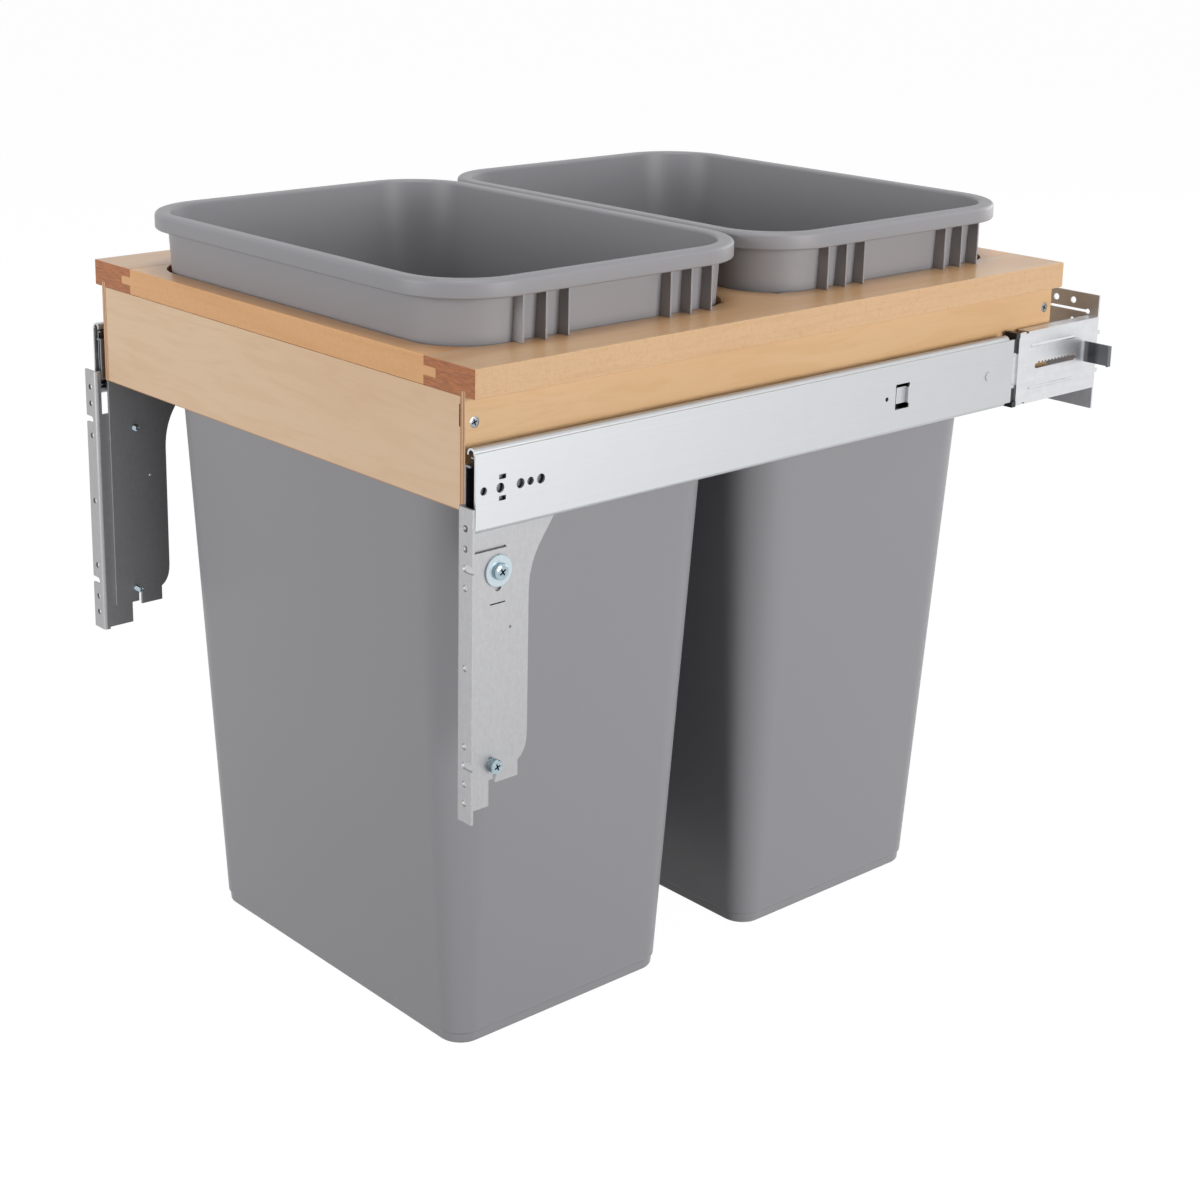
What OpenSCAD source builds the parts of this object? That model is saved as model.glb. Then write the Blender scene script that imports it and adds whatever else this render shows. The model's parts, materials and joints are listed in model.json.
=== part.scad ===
// Pull out waste unit for a face-frame base cabinet: two tall bins hang in a wooden frame that
// runs on full extension ball slides, with arms and angles that carry the cabinet's door.
// Millimetres, +Z up, front towards -Y, right towards +X. The origin is on the rear wall, at
// the middle of the four rear wall screws.

/* [Wooden frame] */
// Wood left between a bin's cut-out and the side of the frame
side_border = 45.3; // [43:0.1:52]
// Wood left between a bin's cut-out and the front or the rear of the frame
end_border = 17.3; // [14:0.1:24]
// Thickness of the frame boards
board_t = 19; // [16:0.5:22]
// Width of each side stile
stile_w = 50; // [46:1:56]
// Width of each rail before the cut-outs are routed
rail_w = 50; // [46:1:56]
// Length of the tongue at each end of a rail
tongue_l = 12; // [6:1:20]
// Thickness of that tongue
tongue_t = 6.4; // [4:0.2:8]

/* [Plywood apron] */
// Height of the apron below the frame boards
apron_h = 72; // [68:1:90]
// Thickness of the apron plywood
ply_t = 12.7; // [10:0.1:15]
// How far the frame boards overhang the apron at each side
side_overhang = 9.1; // [6:0.1:14]
// Width of the side panel's lip in front of the end panel's edge
rabbet_lip = 5; // [3:0.5:7]
// Depth of the groove under the stile that holds the side panel
housing_depth = 3.8; // [2:0.2:6]

/* [Bins] */
// Height of the rim's top above the frame
rim_top = 43; // [38:1:50]
// Height of the rim band
rim_band = 12; // [8:0.5:14]
// Total height of a bin
bin_h = 550; // [350:5:600]
// Width of the bin body at the frame's top face
collar_w = 357; // [330:1:380]
// Depth of the bin body at the frame's top face
collar_d = 257; // [230:1:280]
// Corner radius of the body at the frame's top face
collar_r = 45; // [40:1:50]
// Width of the body at its foot
foot_w = 300; // [280:1:320]
// Depth of the body at its foot
foot_d = 198; // [180:1:210]
// Corner radius at the foot
foot_r = 19; // [12:1:30]
// Wall thickness of a bin
bin_wall = 2.5; // [2:0.1:4]
// How far the rim stands out from the body at the frame's top face
rim_reach = 11.5; // [10:0.1:14]
// How much larger the rim's corner radius is than the body's
rim_r_more = 12; // [8:0.5:13]
// Space between the two rims
bin_space = 2; // [2:0.5:6]

/* [Slides] */
// How much shorter a slide is than the wooden frame
slide_short = 62; // [40:1:80]
// How much shorter the travel is than the slide
travel_short = 4; // [2:1:60]
// Space from the apron side to the outer face of the slide
slide_space = 12.7; // [12.4:0.1:14]
// Height of the slide's centre line above the apron's lower edge
slide_rise = 15.5; // [14:0.5:18]
// Radius of the outer balls
ball_r = 2.25; // [2:0.05:2.4]
// Radius of the inner balls
small_ball_r = 1.8; // [1.6:0.05:1.9]

/* [Rear brackets] */
// Distance from the slide's rear end to the rear wall
rear_reach = 109.5; // [95:0.5:130]
// Distance of the wall screws from the slide's outer face
wall_screw_inset = 39.6; // [36:0.1:50]
// Distance between the upper and the lower wall screws
wall_screw_rise = 76; // [66:1:80]
// Metal between the wall screws and the flange's inner edge
flange_end = 20.4; // [8:0.1:30]
// Metal above and below the wall screws
flange_edge = 7; // [5:0.5:14]
// Reach of the side lug beyond the slide's outer face
lug_reach = 25.4; // [15:0.2:30]

/* [Door brackets] */
// How far the door flange stands in front of the frame
door_gap = 7.7; // [7:0.1:9]
// Height of the door flange
door_flange_h = 206; // [180:1:240]
// Width of the door flange
door_flange_w = 15; // [13:0.5:20]
// Thickness of the angle's sheet
angle_t = 1.8; // [1.2:0.1:2]
// Thickness of the arm's sheet
arm_t = 2; // [1.5:0.1:2.2]
// How far the arm's foot reaches below the lower screw
arm_foot_below = 14; // [10:0.5:24]

/* [Hidden] */

// Fineness of round features and of the balls
$fn = 48;
ball_fn = 24;
// One overrun for all cuts, one overlap for pieces of one solid, one slack for screw holes
over = 1;
sink = 0.2;
screw_slack = 0.05;

// Rims and their places
rim_w = collar_w + 2 * rim_reach;
rim_d = collar_d + 2 * rim_reach;
rim_r = collar_r + rim_r_more;
bin_pitch = rim_d + bin_space;

// Wooden frame: y = 0 at its front face, z = 0 at its top face. It is as large as the bins ask,
// with a clearance between a bin's body and the routed cut-out, whose corners are tighter
hole_gap = 1.2;
hole_w = collar_w + 2 * hole_gap;
hole_d = collar_d + 2 * hole_gap;
hole_r_less = 5;
hole_r = collar_r - hole_r_less;
frame_w = hole_w + 2 * side_border;
frame_d = bin_pitch + hole_d + 2 * end_border;
frame_x = frame_w / 2;
stile_x = frame_x - stile_w;
frame_mid_y = frame_d / 2;
rail_ys = [0, frame_mid_y - rail_w / 2, frame_d - rail_w];
bin_y = [frame_mid_y - bin_pitch / 2, frame_mid_y + bin_pitch / 2];

// Apron
apron_x = frame_x - side_overhang;
apron_in_x = apron_x - ply_t;
apron_z = -board_t - apron_h;
lip_x = apron_x - rabbet_lip;
apron_screw_r = 1.8;
apron_screw_head_r = 4;
apron_screw_l = 38;
apron_screw_y = ply_t * 0.6;
apron_screw_inset = 16.5;
apron_screw_zs = [-board_t - apron_screw_inset, apron_z + apron_screw_inset];

// Slide section: u is measured inwards from the outer face, v from the centre line
slide_x = apron_x + slide_space;
slide_z = apron_z + slide_rise;
slide_front = -2;
slide_l = frame_d - slide_short;
slide_travel = slide_l - travel_short;
slide_rear = slide_front + slide_l;
wall_y = slide_rear + rear_reach;
sheet = 1.4;
ball_slack = 0.15;
race_u = 4.6;
race_v = 23.4;
race_slack = 0.1;
race_r = ball_r + race_slack;
race_out_r = race_r + sheet;
race_lip = 0.8;
web_v = race_v + race_lip;
inter_sheet = 1.3;
inter_u = 2.9;
inter_reach = 7.3;
inter_v = race_v - ball_r - ball_slack;
inter_front = 0;
inter_stop_gap = 0.6;
small_ball_u = 6.9;
small_ball_v = inter_v - inter_sheet - small_ball_r - ball_slack;

// Cages; a cage moves half as far as the member that rolls on its balls
cage_t = 0.7;
cage_run_out = 6.5;
cage_front = slide_travel / 4 + cage_run_out;
outer_cage_gap = 0.35;
outer_cage_u = sheet + outer_cage_gap;
outer_cage_reach = 6.9;
outer_cage_v = inter_v + outer_cage_gap + cage_t;
outer_cage_pitch = 24;
outer_cage_share = 0.24;
outer_cage_count = floor(outer_cage_share * slide_l / outer_cage_pitch);
outer_cage_l = outer_cage_pitch * outer_cage_count;
outer_cage_hole_share = 0.9;
inner_cage_t = 0.5;
inner_cage_gap = 0.2;
inner_cage_u = inter_u + inter_sheet + inner_cage_gap;
inner_cage_reach = 8.6;
inner_cage_v = small_ball_v + cage_t / 2;
inner_cage_pitch = 28;
inner_cage_share = 0.45;
inner_cage_count = floor(inner_cage_share * slide_l / inner_cage_pitch);
inner_cage_l = inner_cage_pitch * inner_cage_count;
inner_cage_hole_share = 1.05;

// Drawer member
drawer_u = slide_space - arm_t;
drawer_head_u = drawer_u - sheet;
drawer_gap = 0.3;
drawer_reach = inner_cage_u + inner_cage_t + drawer_gap;
drawer_v = small_ball_v - small_ball_r - ball_slack;
drawer_short = 12;
drawer_rear = slide_rear - drawer_short;

// Openings in the cabinet member's web, as shares of its length and of the screw hole
member_hole_r = 3.2;
member_hole_shares = [[0.0122, 0.82], [0.0377, 0.98], [0.0691, 1], [0.0847, 0.82], [0.1012, 1]];
notch_l = 5.6;
notch_h = 3;
notch_v = 6.8;
notch_y = slide_front + 0.0413 * slide_l;
rear_hole_r = 1.6;
rear_hole_back = 138;
rear_hole_y = slide_rear - rear_hole_back;
window_back = 128.5;
window_y = slide_rear - window_back;
window_l = 15;
window_h = 18.4;
window_end = window_y + window_l;
flap_l = 11;
flap_h = 12;
flap_u = 2.8;
inter_rear = window_end - flap_l - inter_stop_gap;
// The web runs on behind the races and ends in two small tabs
web_overrun = 5;
rear_tab_l = 3;
rear_tab_h = 3;
rear_tab_v = 12;

// Soft close unit inside the rear of the cabinet member
close_gap = 3.5;
close_front = window_end + close_gap;
close_l = 72;
close_rear = close_front + close_l;
close_clear = 1.1;
close_u = drawer_head_u - close_clear;
close_v = 13;
close_floor = 1;
close_wall = 1.2;
close_floor_u = sheet + close_floor;
catch_stroke = 22;
catch_slack = 0.2;
catch_y = close_front + catch_stroke;
catch_l = 10;
catch_rear = catch_y + catch_l;
catch_lip_l = 3;
catch_lip_u = 4.7;
catch_wall_u = close_u - catch_slack;
catch_u = close_floor_u + catch_slack;
catch_v = close_v - close_wall - catch_slack;
damper_less = 0.6;
damper_r = (close_u - close_floor_u) / 2 - damper_less;
piston_v = 6.2;
piston_u = close_floor_u + damper_r + 2 * race_slack;
piston_r = damper_r / 2;
damper_gap = 2.5;
damper_y = catch_rear + damper_gap;
damper_l = close_rear - close_wall - damper_y;
damper_bore_r = piston_r + race_slack;
damper_end_t = 1.5;
piston_l = damper_l - damper_end_t;
spring_gap = 0.4;
spring_r = damper_r - spring_gap;
spring_wire_r = 0.35;
spring_turns = 12;
spring_steps = 8;
spring_sides = 6;
spring_y = catch_rear + sink;
spring_l = close_rear - close_wall - sink - spring_y;
// The striker on the drawer member stands in front of the catch and clears its lip
striker_t = 1.4;
striker_h = 8;
striker_gap = 0.4;
striker_u = catch_lip_u + striker_gap;
striker_y = catch_y - striker_t - striker_gap;

// Screws that hold a drawer member and its arm to the apron side
slide_screw_shares = [0.0817, 0.422, 0.733];
slide_screw_r = 1.9;
slide_screw_head_r = 3.6;
slide_screw_head_h = 1.7;
slide_screw_l = 14;
slide_screw_head_x = slide_x - drawer_head_u;
slide_screw_tip_x = slide_screw_head_x - slide_screw_l;

// Rear bracket: a side plate, a tongue inside the cabinet member and a flange on the wall
bracket_gap = 11;
bracket_front = slide_rear + bracket_gap;
bracket_v = 28;
bracket_lip = 10;
bracket_notch_from = 8;
bracket_notch_l = 3;
bracket_lip_y = bracket_front + bracket_notch_from + bracket_notch_l;
tongue_back = 34;
tongue_v = 12;
rivet_back = 23.5;
rivet_y = slide_rear - rivet_back;
rivet_r = 2.4;
rivet_head_r = 3.6;
rivet_head_h = 0.6;
rack_from = 21;
rack_l = 52;
rack_r = 2;
rack_pitch = 4;
rack_count = 10;
rack_notch = 2;
rib_from = 15;
rib_l = 54;
rib_r = 1.5;
rib_v = 16.3;
rib_rise = 0.6;
lug_h = 16;
lug_v = 3.6;
lug_from_wall = 17;
lug_turn = 4;
spike_l = 5;
spike_h = 3;
spike_v = 15;
wall_flange_w = wall_screw_inset + flange_end;
wall_flange_h = wall_screw_rise + 2 * flange_edge;
wall_screw_x = slide_x - wall_screw_inset;
wall_screw_r = 2.5;
wall_spare_x = 16;
wall_slot_l = 36;
wall_slot_r = 1;
wall_slot_below = 7;
wall_slot_v = wall_screw_rise / 2 - wall_slot_below;
wall_slot_x = wall_screw_x + 0.8 * wall_spare_x;
wall_pilot_r = 1.5;
wall_pilot_below = 15;
wall_pilot_v = wall_screw_rise / 2 - wall_pilot_below;

// Plastic cap between the rear end of a cabinet member and its bracket
cap_v = 28.6;
cap_out = 0.6;
cap_in_u = 10;

// Door arm: a plate on the apron side whose leg runs along the slide
arm_x = apron_x;
angle_x = arm_x + arm_t;
plate_x = angle_x + angle_t;
arm_rise = 1;
arm_top_z = slide_z + drawer_v - arm_rise;
arm_leg_z = apron_z + arm_rise;
arm_front = 2;
arm_w = 48.5;
arm_root_w = 80;
arm_bend_w = 11.5;
arm_bend_from = 28;
arm_bend_mid = 43;
arm_bend_to = 63;
arm_bend_steps = 8;
arm_calf_steps = 5;
arm_calf_bulge = 4;
arm_ankle_w = 41;
arm_ankle_rise = 11;
arm_calf_rise = 28;
arm_heel_w = 20.4;
arm_heel_rise = 3;
arm_slit_w = 2.2;
arm_slit_rise = 9.5;
arm_mark_r = 0.9;
arm_mark_w = 33.4;
arm_mark_drop = 82;

// Door angle: the flange holds the door, the plate is clamped on the arm
bend_r = 2.6;
flange_drop = 8.8;
flange_top_z = slide_z - flange_drop;
flange_foot_z = flange_top_z - door_flange_h;
flange_mid_z = flange_top_z - door_flange_h / 2;
flange_out_x = angle_x + door_flange_w;
flange_hole_x = angle_x + 0.54 * door_flange_w;
flange_hole_r = 2.3;
flange_hole_shares = [0, 0.252, 0.374, 0.437];
flange_slot_share = 0.313;
flange_slot_r = 2.5;
strip_gap = 0.9;
strip_y = slide_front - strip_gap;
plate_y = 17.3;
plate_rise = 1.6;
ear_y = 31;
ear_from = 33.7;
ear_h = 35;
bolt_y = 23.5;
upper_bolt_from = 47.7;
lower_bolt_rise = 29.3;
upper_bolt_z = flange_top_z - upper_bolt_from;
lower_bolt_z = flange_foot_z + lower_bolt_rise;
arm_foot_z = lower_bolt_z - arm_foot_below;
bolt_r = 2.4;
bolt_gap = 0.3;
slot_up = 8;
slot_down = 11;
low_bolt_r = 2;
low_bolt_gap = 0.8;
low_bolt_y = plate_y + low_bolt_r + low_bolt_gap;
washer_r = 10.5;
washer_t = 1.5;
upper_head_r = 5.6;
upper_head_h = 3.4;
upper_dome = 1.4;
upper_tail = 4;
lower_head_r = 4.7;
lower_head_h = 5.5;
lower_tail = 7.5;
// Cross recess: its length, its width and its depth as shares of the head
recess_share = 0.62;
recess_slot_share = 0.2;
recess_depth_share = 0.45;

// Bin
corner_steps = 8;
round_steps = 5;
foot_z = rim_top - bin_h;
foot_ease = 2;
foot_step_h = 7.5;
foot_step_in = 1.2;
band_z = rim_top - rim_band;
rim_skin = 2.6;
rim_round = 5;
rim_under_z = rim_top - rim_skin;
fin_t = 1.6;
fin_inset = 1.2;
fin_x = rim_w / 2 - fin_inset;
fin_pitch_share = 0.074;
fin_group_shares = [-0.2315, 0.2665];

// Moves the frame's own coordinates to the origin on the rear wall
module place() translate([0, -wall_y, -slide_z]) children();
module right() children();
module left() mirror([1, 0, 0]) children();
module both_sides() {
    right() children();
    left() children();
}

// Extrudes a drawing made in x and z along y, and one made in y and z along x
module along_y(start, length)
    translate([0, start + length, 0]) rotate([90, 0, 0]) linear_extrude(length) children();
module along_x(start, length)
    translate([start, 0, 0]) rotate([90, 0, 90]) linear_extrude(length) children();
module rod_x(start, length, r, y, z)
    translate([start, y, z]) rotate([0, 90, 0]) cylinder(h = length, r = r);
module rod_y(start, length, r, x, z)
    translate([x, start, z]) rotate([-90, 0, 0]) cylinder(h = length, r = r);

// A block given by its lowest and highest corners, and a rectangle in a drawing
module block(low, high) translate(low) cube(high - low);
module area(low, high) translate(low) square(high - low);

module rounded_area(w, d, r) {
    square([w - 2 * r, d], center = true);
    square([w, d - 2 * r], center = true);
    for (side_x = [-1, 1], side_y = [-1, 1])
        translate([side_x * (w / 2 - r), side_y * (d / 2 - r)]) circle(r = r);
}

// A slot with round ends, drawn lengthwise
module slot_area(l, r) {
    square([l - 2 * r, 2 * r], center = true);
    for (side = [-1, 1]) translate([side * (l / 2 - r), 0]) circle(r = r);
}

module cross_recess(head_r, depth) {
    long = 2 * head_r * recess_share;
    wide = 2 * head_r * recess_slot_share;
    for (size = [[long, wide], [wide, long]])
        linear_extrude(depth) square(size, center = true);
}

// Frame boards
module bin_holes()
    for (y = bin_y)
        translate([0, y, -board_t - over]) linear_extrude(board_t + 2 * over)
            rounded_area(hole_w, hole_d, hole_r);

// A rail's tongue, drawn out by an overrun where it is cut from a stile
module tongue(y, extra)
    block([-stile_x - tongue_l, y - extra, -board_t / 2 - tongue_t / 2],
          [stile_x + tongue_l, y + rail_w + extra, -board_t / 2 + tongue_t / 2]);

module stile() {
    difference() {
        block([stile_x, 0, -board_t], [frame_x, frame_d, 0]);
        bin_holes();
        for (y = rail_ys) tongue(y, 0);
        block([apron_in_x, ply_t, -board_t - over],
              [apron_x, frame_d - ply_t, -board_t + housing_depth]);
        block([lip_x, -over, -board_t - over],
              [apron_x, frame_d + over, -board_t + housing_depth]);
    }
}

module rail(y)
    difference() {
        union() {
            block([-stile_x, y, -board_t], [stile_x, y + rail_w, 0]);
            tongue(y, 0);
        }
        bin_holes();
    }

module left_stile() color("burlywood") left() stile();
module right_stile() color("burlywood") right() stile();
module front_rail() color("tan") rail(rail_ys[0]);
module centre_rail() color("tan") rail(rail_ys[1]);
module rear_rail() color("tan") rail(rail_ys[2]);

// Apron box
module apron_screw_places()
    both_sides()
        for (y = [apron_screw_y, frame_d - apron_screw_y], z = apron_screw_zs)
            translate([apron_x, y, z]) rotate([0, -90, 0]) children();

// A countersunk screw that starts at the panel's face and runs along +Z
module countersunk(shank_r, head_r, length)
    rotate_extrude() polygon([[0, 0], [head_r, 0], [shank_r, head_r - shank_r],
                              [shank_r, length - shank_r], [0, length]]);

module apron_screw_holes()
    apron_screw_places()
        countersunk(apron_screw_r + screw_slack, apron_screw_head_r + screw_slack,
                    apron_screw_l + 2 * screw_slack);

module slide_screw_holes()
    both_sides()
        for (share = slide_screw_shares)
            rod_x(slide_screw_tip_x - screw_slack, slide_screw_l + over,
                  slide_screw_r + screw_slack, slide_front + share * slide_l, slide_z);

module apron_side()
    difference() {
        block([apron_in_x, 0, apron_z], [apron_x, frame_d, -board_t + housing_depth]);
        for (ends = [[-over, ply_t], [frame_d - ply_t, frame_d + over]])
            block([apron_in_x - over, ends[0], apron_z - over],
                  [lip_x, ends[1], -board_t + housing_depth + over]);
        apron_screw_holes();
        slide_screw_holes();
    }

module apron_end(y)
    difference() {
        block([-lip_x, y, apron_z], [lip_x, y + ply_t, -board_t]);
        apron_screw_holes();
    }

module apron_left() color("navajowhite") left() apron_side();
module apron_right() color("navajowhite") right() apron_side();
module apron_front() color("blanchedalmond") apron_end(0);
module apron_rear() color("blanchedalmond") apron_end(frame_d - ply_t);

module apron_screws()
    color("silver") apron_screw_places()
        difference() {
            countersunk(apron_screw_r, apron_screw_head_r, apron_screw_l);
            translate([0, 0, -over])
                cross_recess(apron_screw_head_r,
                             over + apron_screw_head_r * recess_depth_share);
        }

// Slide members, right hand
function sx(u) = slide_x - u;
function sz(v) = slide_z + v;

// Repeats what it is given above and below the slide's centre line
module up_and_down() {
    children();
    translate([0, 0, 2 * slide_z]) mirror([0, 0, 1]) children();
}

// The rolled edge of the cabinet member, which goes round the balls
module race_area()
    intersection() {
        translate([sx(race_u), sz(race_v)]) difference() {
            circle(r = race_out_r);
            circle(r = race_r);
        }
        area([sx(race_u + race_out_r), sz(race_v - race_lip)],
             [sx(0), sz(race_v + race_out_r)]);
    }

module cabinet_member() {
    difference() {
        union() {
            along_y(slide_front, slide_l + web_overrun)
                area([sx(sheet), sz(-web_v)], [sx(0), sz(web_v)]);
            up_and_down() along_y(slide_front, slide_l) race_area();
            for (v = [-rear_tab_v, rear_tab_v])
                block([sx(sheet), slide_rear, sz(v - rear_tab_h / 2)],
                      [sx(0), slide_rear + web_overrun + rear_tab_l, sz(v + rear_tab_h / 2)]);
        }
        for (share = member_hole_shares)
            rod_x(sx(sheet + over), sheet + 2 * over, member_hole_r * share[1],
                  slide_front + share[0] * slide_l, slide_z);
        for (v = [-notch_v, notch_v])
            block([sx(sheet + over), notch_y - notch_l / 2, sz(v - notch_h / 2)],
                  [sx(-over), notch_y + notch_l / 2, sz(v + notch_h / 2)]);
        rod_x(sx(sheet + over), sheet + 2 * over, rear_hole_r, rear_hole_y, slide_z);
        rod_x(sx(sheet + over), sheet + 2 * over, rivet_r + screw_slack, rivet_y, slide_z);
        block([sx(sheet + over), window_y, sz(-window_h / 2)],
              [sx(-over), window_end, sz(window_h / 2)]);
    }
    // The flap lanced from the window, which stops the intermediate member
    block([sx(flap_u + sheet), window_end - flap_l, sz(-flap_h / 2)],
          [sx(flap_u), window_end, sz(flap_h / 2)]);
    block([sx(flap_u + sheet), window_end - sheet, sz(-flap_h / 2)],
          [sx(0), window_end, sz(flap_h / 2)]);
}

// A channel given by its web's outer face, its flanges' tip and its half height
module channel(web_u, tip_u, half_h, web_t, flange_t, front, rear) {
    side = tip_u > web_u ? 1 : -1;
    web = [web_u, web_u + side * web_t];
    along_y(front, rear - front) {
        area([sx(max(web)), sz(-half_h)], [sx(min(web)), sz(half_h)]);
        for (v = [-half_h, half_h - flange_t])
            area([sx(max(web_u, tip_u)), sz(v)], [sx(min(web_u, tip_u)), sz(v + flange_t)]);
    }
}

module intermediate_member()
    channel(inter_u, inter_reach, inter_v, inter_sheet, inter_sheet, inter_front, inter_rear);

module drawer_member() {
    difference() {
        channel(drawer_u, drawer_reach, drawer_v, sheet, sheet, slide_front, drawer_rear);
        slide_screw_holes();
    }
    // The striker that the soft close catch meets
    block([sx(drawer_u - sheet / 2), striker_y, sz(piston_v - striker_h / 2)],
          [sx(striker_u), striker_y + striker_t, sz(piston_v + striker_h / 2)]);
}

module left_cabinet_member() color("lightgray") left() cabinet_member();
module right_cabinet_member() color("lightgray") right() cabinet_member();
module left_intermediate_member() color("gainsboro") left() intermediate_member();
module right_intermediate_member() color("gainsboro") right() intermediate_member();
module left_drawer_member() color("gainsboro") left() drawer_member();
module right_drawer_member() color("gainsboro") right() drawer_member();

// Ball cages
function ball_y(i, pitch) = cage_front + (i + 0.5) * pitch;

module cage(web_u, tip_u, half_h, web_t, pitch, count, ball_u, hole_r)
    difference() {
        channel(web_u, tip_u, half_h, web_t, cage_t, cage_front, cage_front + pitch * count);
        for (i = [0 : count - 1])
            translate([sx(ball_u), ball_y(i, pitch), sz(-race_v)])
                cylinder(h = 2 * race_v, r = hole_r);
    }

module outer_cage()
    cage(outer_cage_u, outer_cage_reach, outer_cage_v, cage_t, outer_cage_pitch,
         outer_cage_count, race_u, ball_r * outer_cage_hole_share);

module inner_cage()
    cage(inner_cage_u, inner_cage_reach, inner_cage_v, inner_cage_t, inner_cage_pitch,
         inner_cage_count, small_ball_u, small_ball_r * inner_cage_hole_share);

module ball_rows(r, u, v, pitch, count)
    up_and_down() for (i = [0 : count - 1])
        translate([sx(u), ball_y(i, pitch), sz(v)]) sphere(r = r, $fn = ball_fn);

module outer_balls() ball_rows(ball_r, race_u, race_v, outer_cage_pitch, outer_cage_count);
module inner_balls()
    ball_rows(small_ball_r, small_ball_u, small_ball_v, inner_cage_pitch, inner_cage_count);

module left_outer_cage() color("darkgray") left() outer_cage();
module right_outer_cage() color("darkgray") right() outer_cage();
module left_inner_cage() color("darkgray") left() inner_cage();
module right_inner_cage() color("darkgray") right() inner_cage();
module left_outer_balls() color("silver") left() outer_balls();
module right_outer_balls() color("silver") right() outer_balls();
module left_inner_balls() color("silver") left() inner_balls();
module right_inner_balls() color("silver") right() inner_balls();

// Soft close unit, right hand
module soft_close_housing()
    difference() {
        block([sx(close_u), close_front, sz(-close_v)], [sx(sheet), close_rear, sz(close_v)]);
        block([sx(close_u + over), close_front - over, sz(-close_v + close_wall)],
              [sx(close_floor_u), catch_rear + catch_slack, sz(close_v - close_wall)]);
        for (v = [-piston_v, piston_v])
            rod_y(catch_rear, close_rear - close_wall - catch_rear, damper_r + race_slack,
                  sx(piston_u), sz(v));
    }

module soft_close_damper()
    difference() {
        rod_y(damper_y, damper_l, damper_r, sx(piston_u), sz(piston_v));
        rod_y(damper_y - over, damper_l - damper_end_t + over + screw_slack, damper_bore_r,
              sx(piston_u), sz(piston_v));
    }

// The catch: a low lip, the wall that the striker meets, and the piston rod
module soft_close_catch() {
    block([sx(catch_lip_u), catch_y - catch_lip_l, sz(-catch_v)],
          [sx(catch_u), catch_rear, sz(catch_v)]);
    block([sx(catch_wall_u), catch_y, sz(-catch_v)], [sx(catch_u), catch_rear, sz(catch_v)]);
    rod_y(catch_rear - over, piston_l + over, piston_r, sx(piston_u), sz(piston_v));
}

// The spring: one wire of a few sides wound along a helix
module soft_close_spring() {
    count = spring_turns * spring_steps;
    run = spring_l - 2 * spring_wire_r;
    points = [for (i = [0 : count])
              let (a = 360 * i / spring_steps, out = [cos(a), 0, sin(a)],
                   middle = [sx(piston_u), spring_y + spring_wire_r + run * i / count,
                             sz(-piston_v)] + spring_r * out)
              for (s = [0 : spring_sides - 1])
              let (b = 360 * s / spring_sides)
              middle + spring_wire_r * (cos(b) * out + sin(b) * [0, 1, 0])];
    walls = [for (i = [0 : count - 1], s = [0 : spring_sides - 1])
             let (a = i * spring_sides + s, b = i * spring_sides + (s + 1) % spring_sides)
             each [[a, b, b + spring_sides], [a, b + spring_sides, a + spring_sides]]];
    first = [for (s = [spring_sides - 1 : -1 : 0]) s];
    last = [for (s = [0 : spring_sides - 1]) count * spring_sides + s];
    polyhedron(points, concat(walls, [first, last]));
}

module left_soft_close_housing() color("dimgray") left() soft_close_housing();
module right_soft_close_housing() color("dimgray") right() soft_close_housing();
module left_soft_close_damper() color("silver") left() soft_close_damper();
module right_soft_close_damper() color("silver") right() soft_close_damper();
module left_soft_close_catch() color("whitesmoke") left() soft_close_catch();
module right_soft_close_catch() color("whitesmoke") right() soft_close_catch();
module left_soft_close_spring() color("gray") left() soft_close_spring();
module right_soft_close_spring() color("gray") right() soft_close_spring();

// Pan head screws inside the drawer member
module slide_screws()
    color("silver") both_sides() for (share = slide_screw_shares) {
        y = slide_front + share * slide_l;
        recess = slide_screw_head_h * recess_depth_share;
        difference() {
            union() {
                rod_x(slide_screw_head_x, slide_screw_head_h, slide_screw_head_r, y, slide_z);
                rod_x(slide_screw_tip_x, slide_screw_l + sink, slide_screw_r, y, slide_z);
            }
            translate([slide_screw_head_x + slide_screw_head_h - recess, y, slide_z])
                rotate([0, 90, 0]) cross_recess(slide_screw_head_r, recess + over);
        }
    }

// End cap, right hand: it leaves room for the member's web and for the bracket's tongue
module end_cap()
    difference() {
        block([sx(cap_in_u), slide_rear, sz(-cap_v)], [sx(-cap_out), bracket_front, sz(cap_v)]);
        block([sx(sheet), slide_rear - over, sz(-web_v)],
              [sx(-cap_out - over), bracket_front + over, sz(web_v)]);
        block([sx(2 * sheet), slide_rear - over, sz(-tongue_v)],
              [sx(0), bracket_front + over, sz(tongue_v)]);
    }

module left_end_cap() color("dimgray") left() end_cap();
module right_end_cap() color("dimgray") right() end_cap();

// Rear bracket, right hand
module bracket_plate()
    difference() {
        union() {
            block([sx(sheet), bracket_front, sz(-bracket_v)], [sx(0), wall_y, sz(bracket_v)]);
            for (v = [-rib_v, rib_v])
                rod_y(bracket_front + rib_from, rib_l, rib_r, sx(rib_r - rib_rise), sz(v));
        }
        // The adjusting rack: a slot with teeth cut in its upper edge
        along_x(sx(sheet + over), sheet + 2 * over)
            translate([bracket_front + rack_from + rack_l / 2, slide_z]) slot_area(rack_l, rack_r);
        for (i = [1 : rack_count])
            block([sx(sheet + over), bracket_front + rack_from + i * rack_pitch, slide_z],
                  [sx(-over), bracket_front + rack_from + i * rack_pitch + rack_notch,
                   sz(rack_r + rack_notch / 2)]);
        for (v = [-bracket_v - over, bracket_v - sheet])
            block([sx(sheet + over), bracket_front + bracket_notch_from, sz(v)],
                  [sx(-over), bracket_lip_y, sz(v + sheet + over)]);
    }

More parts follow.
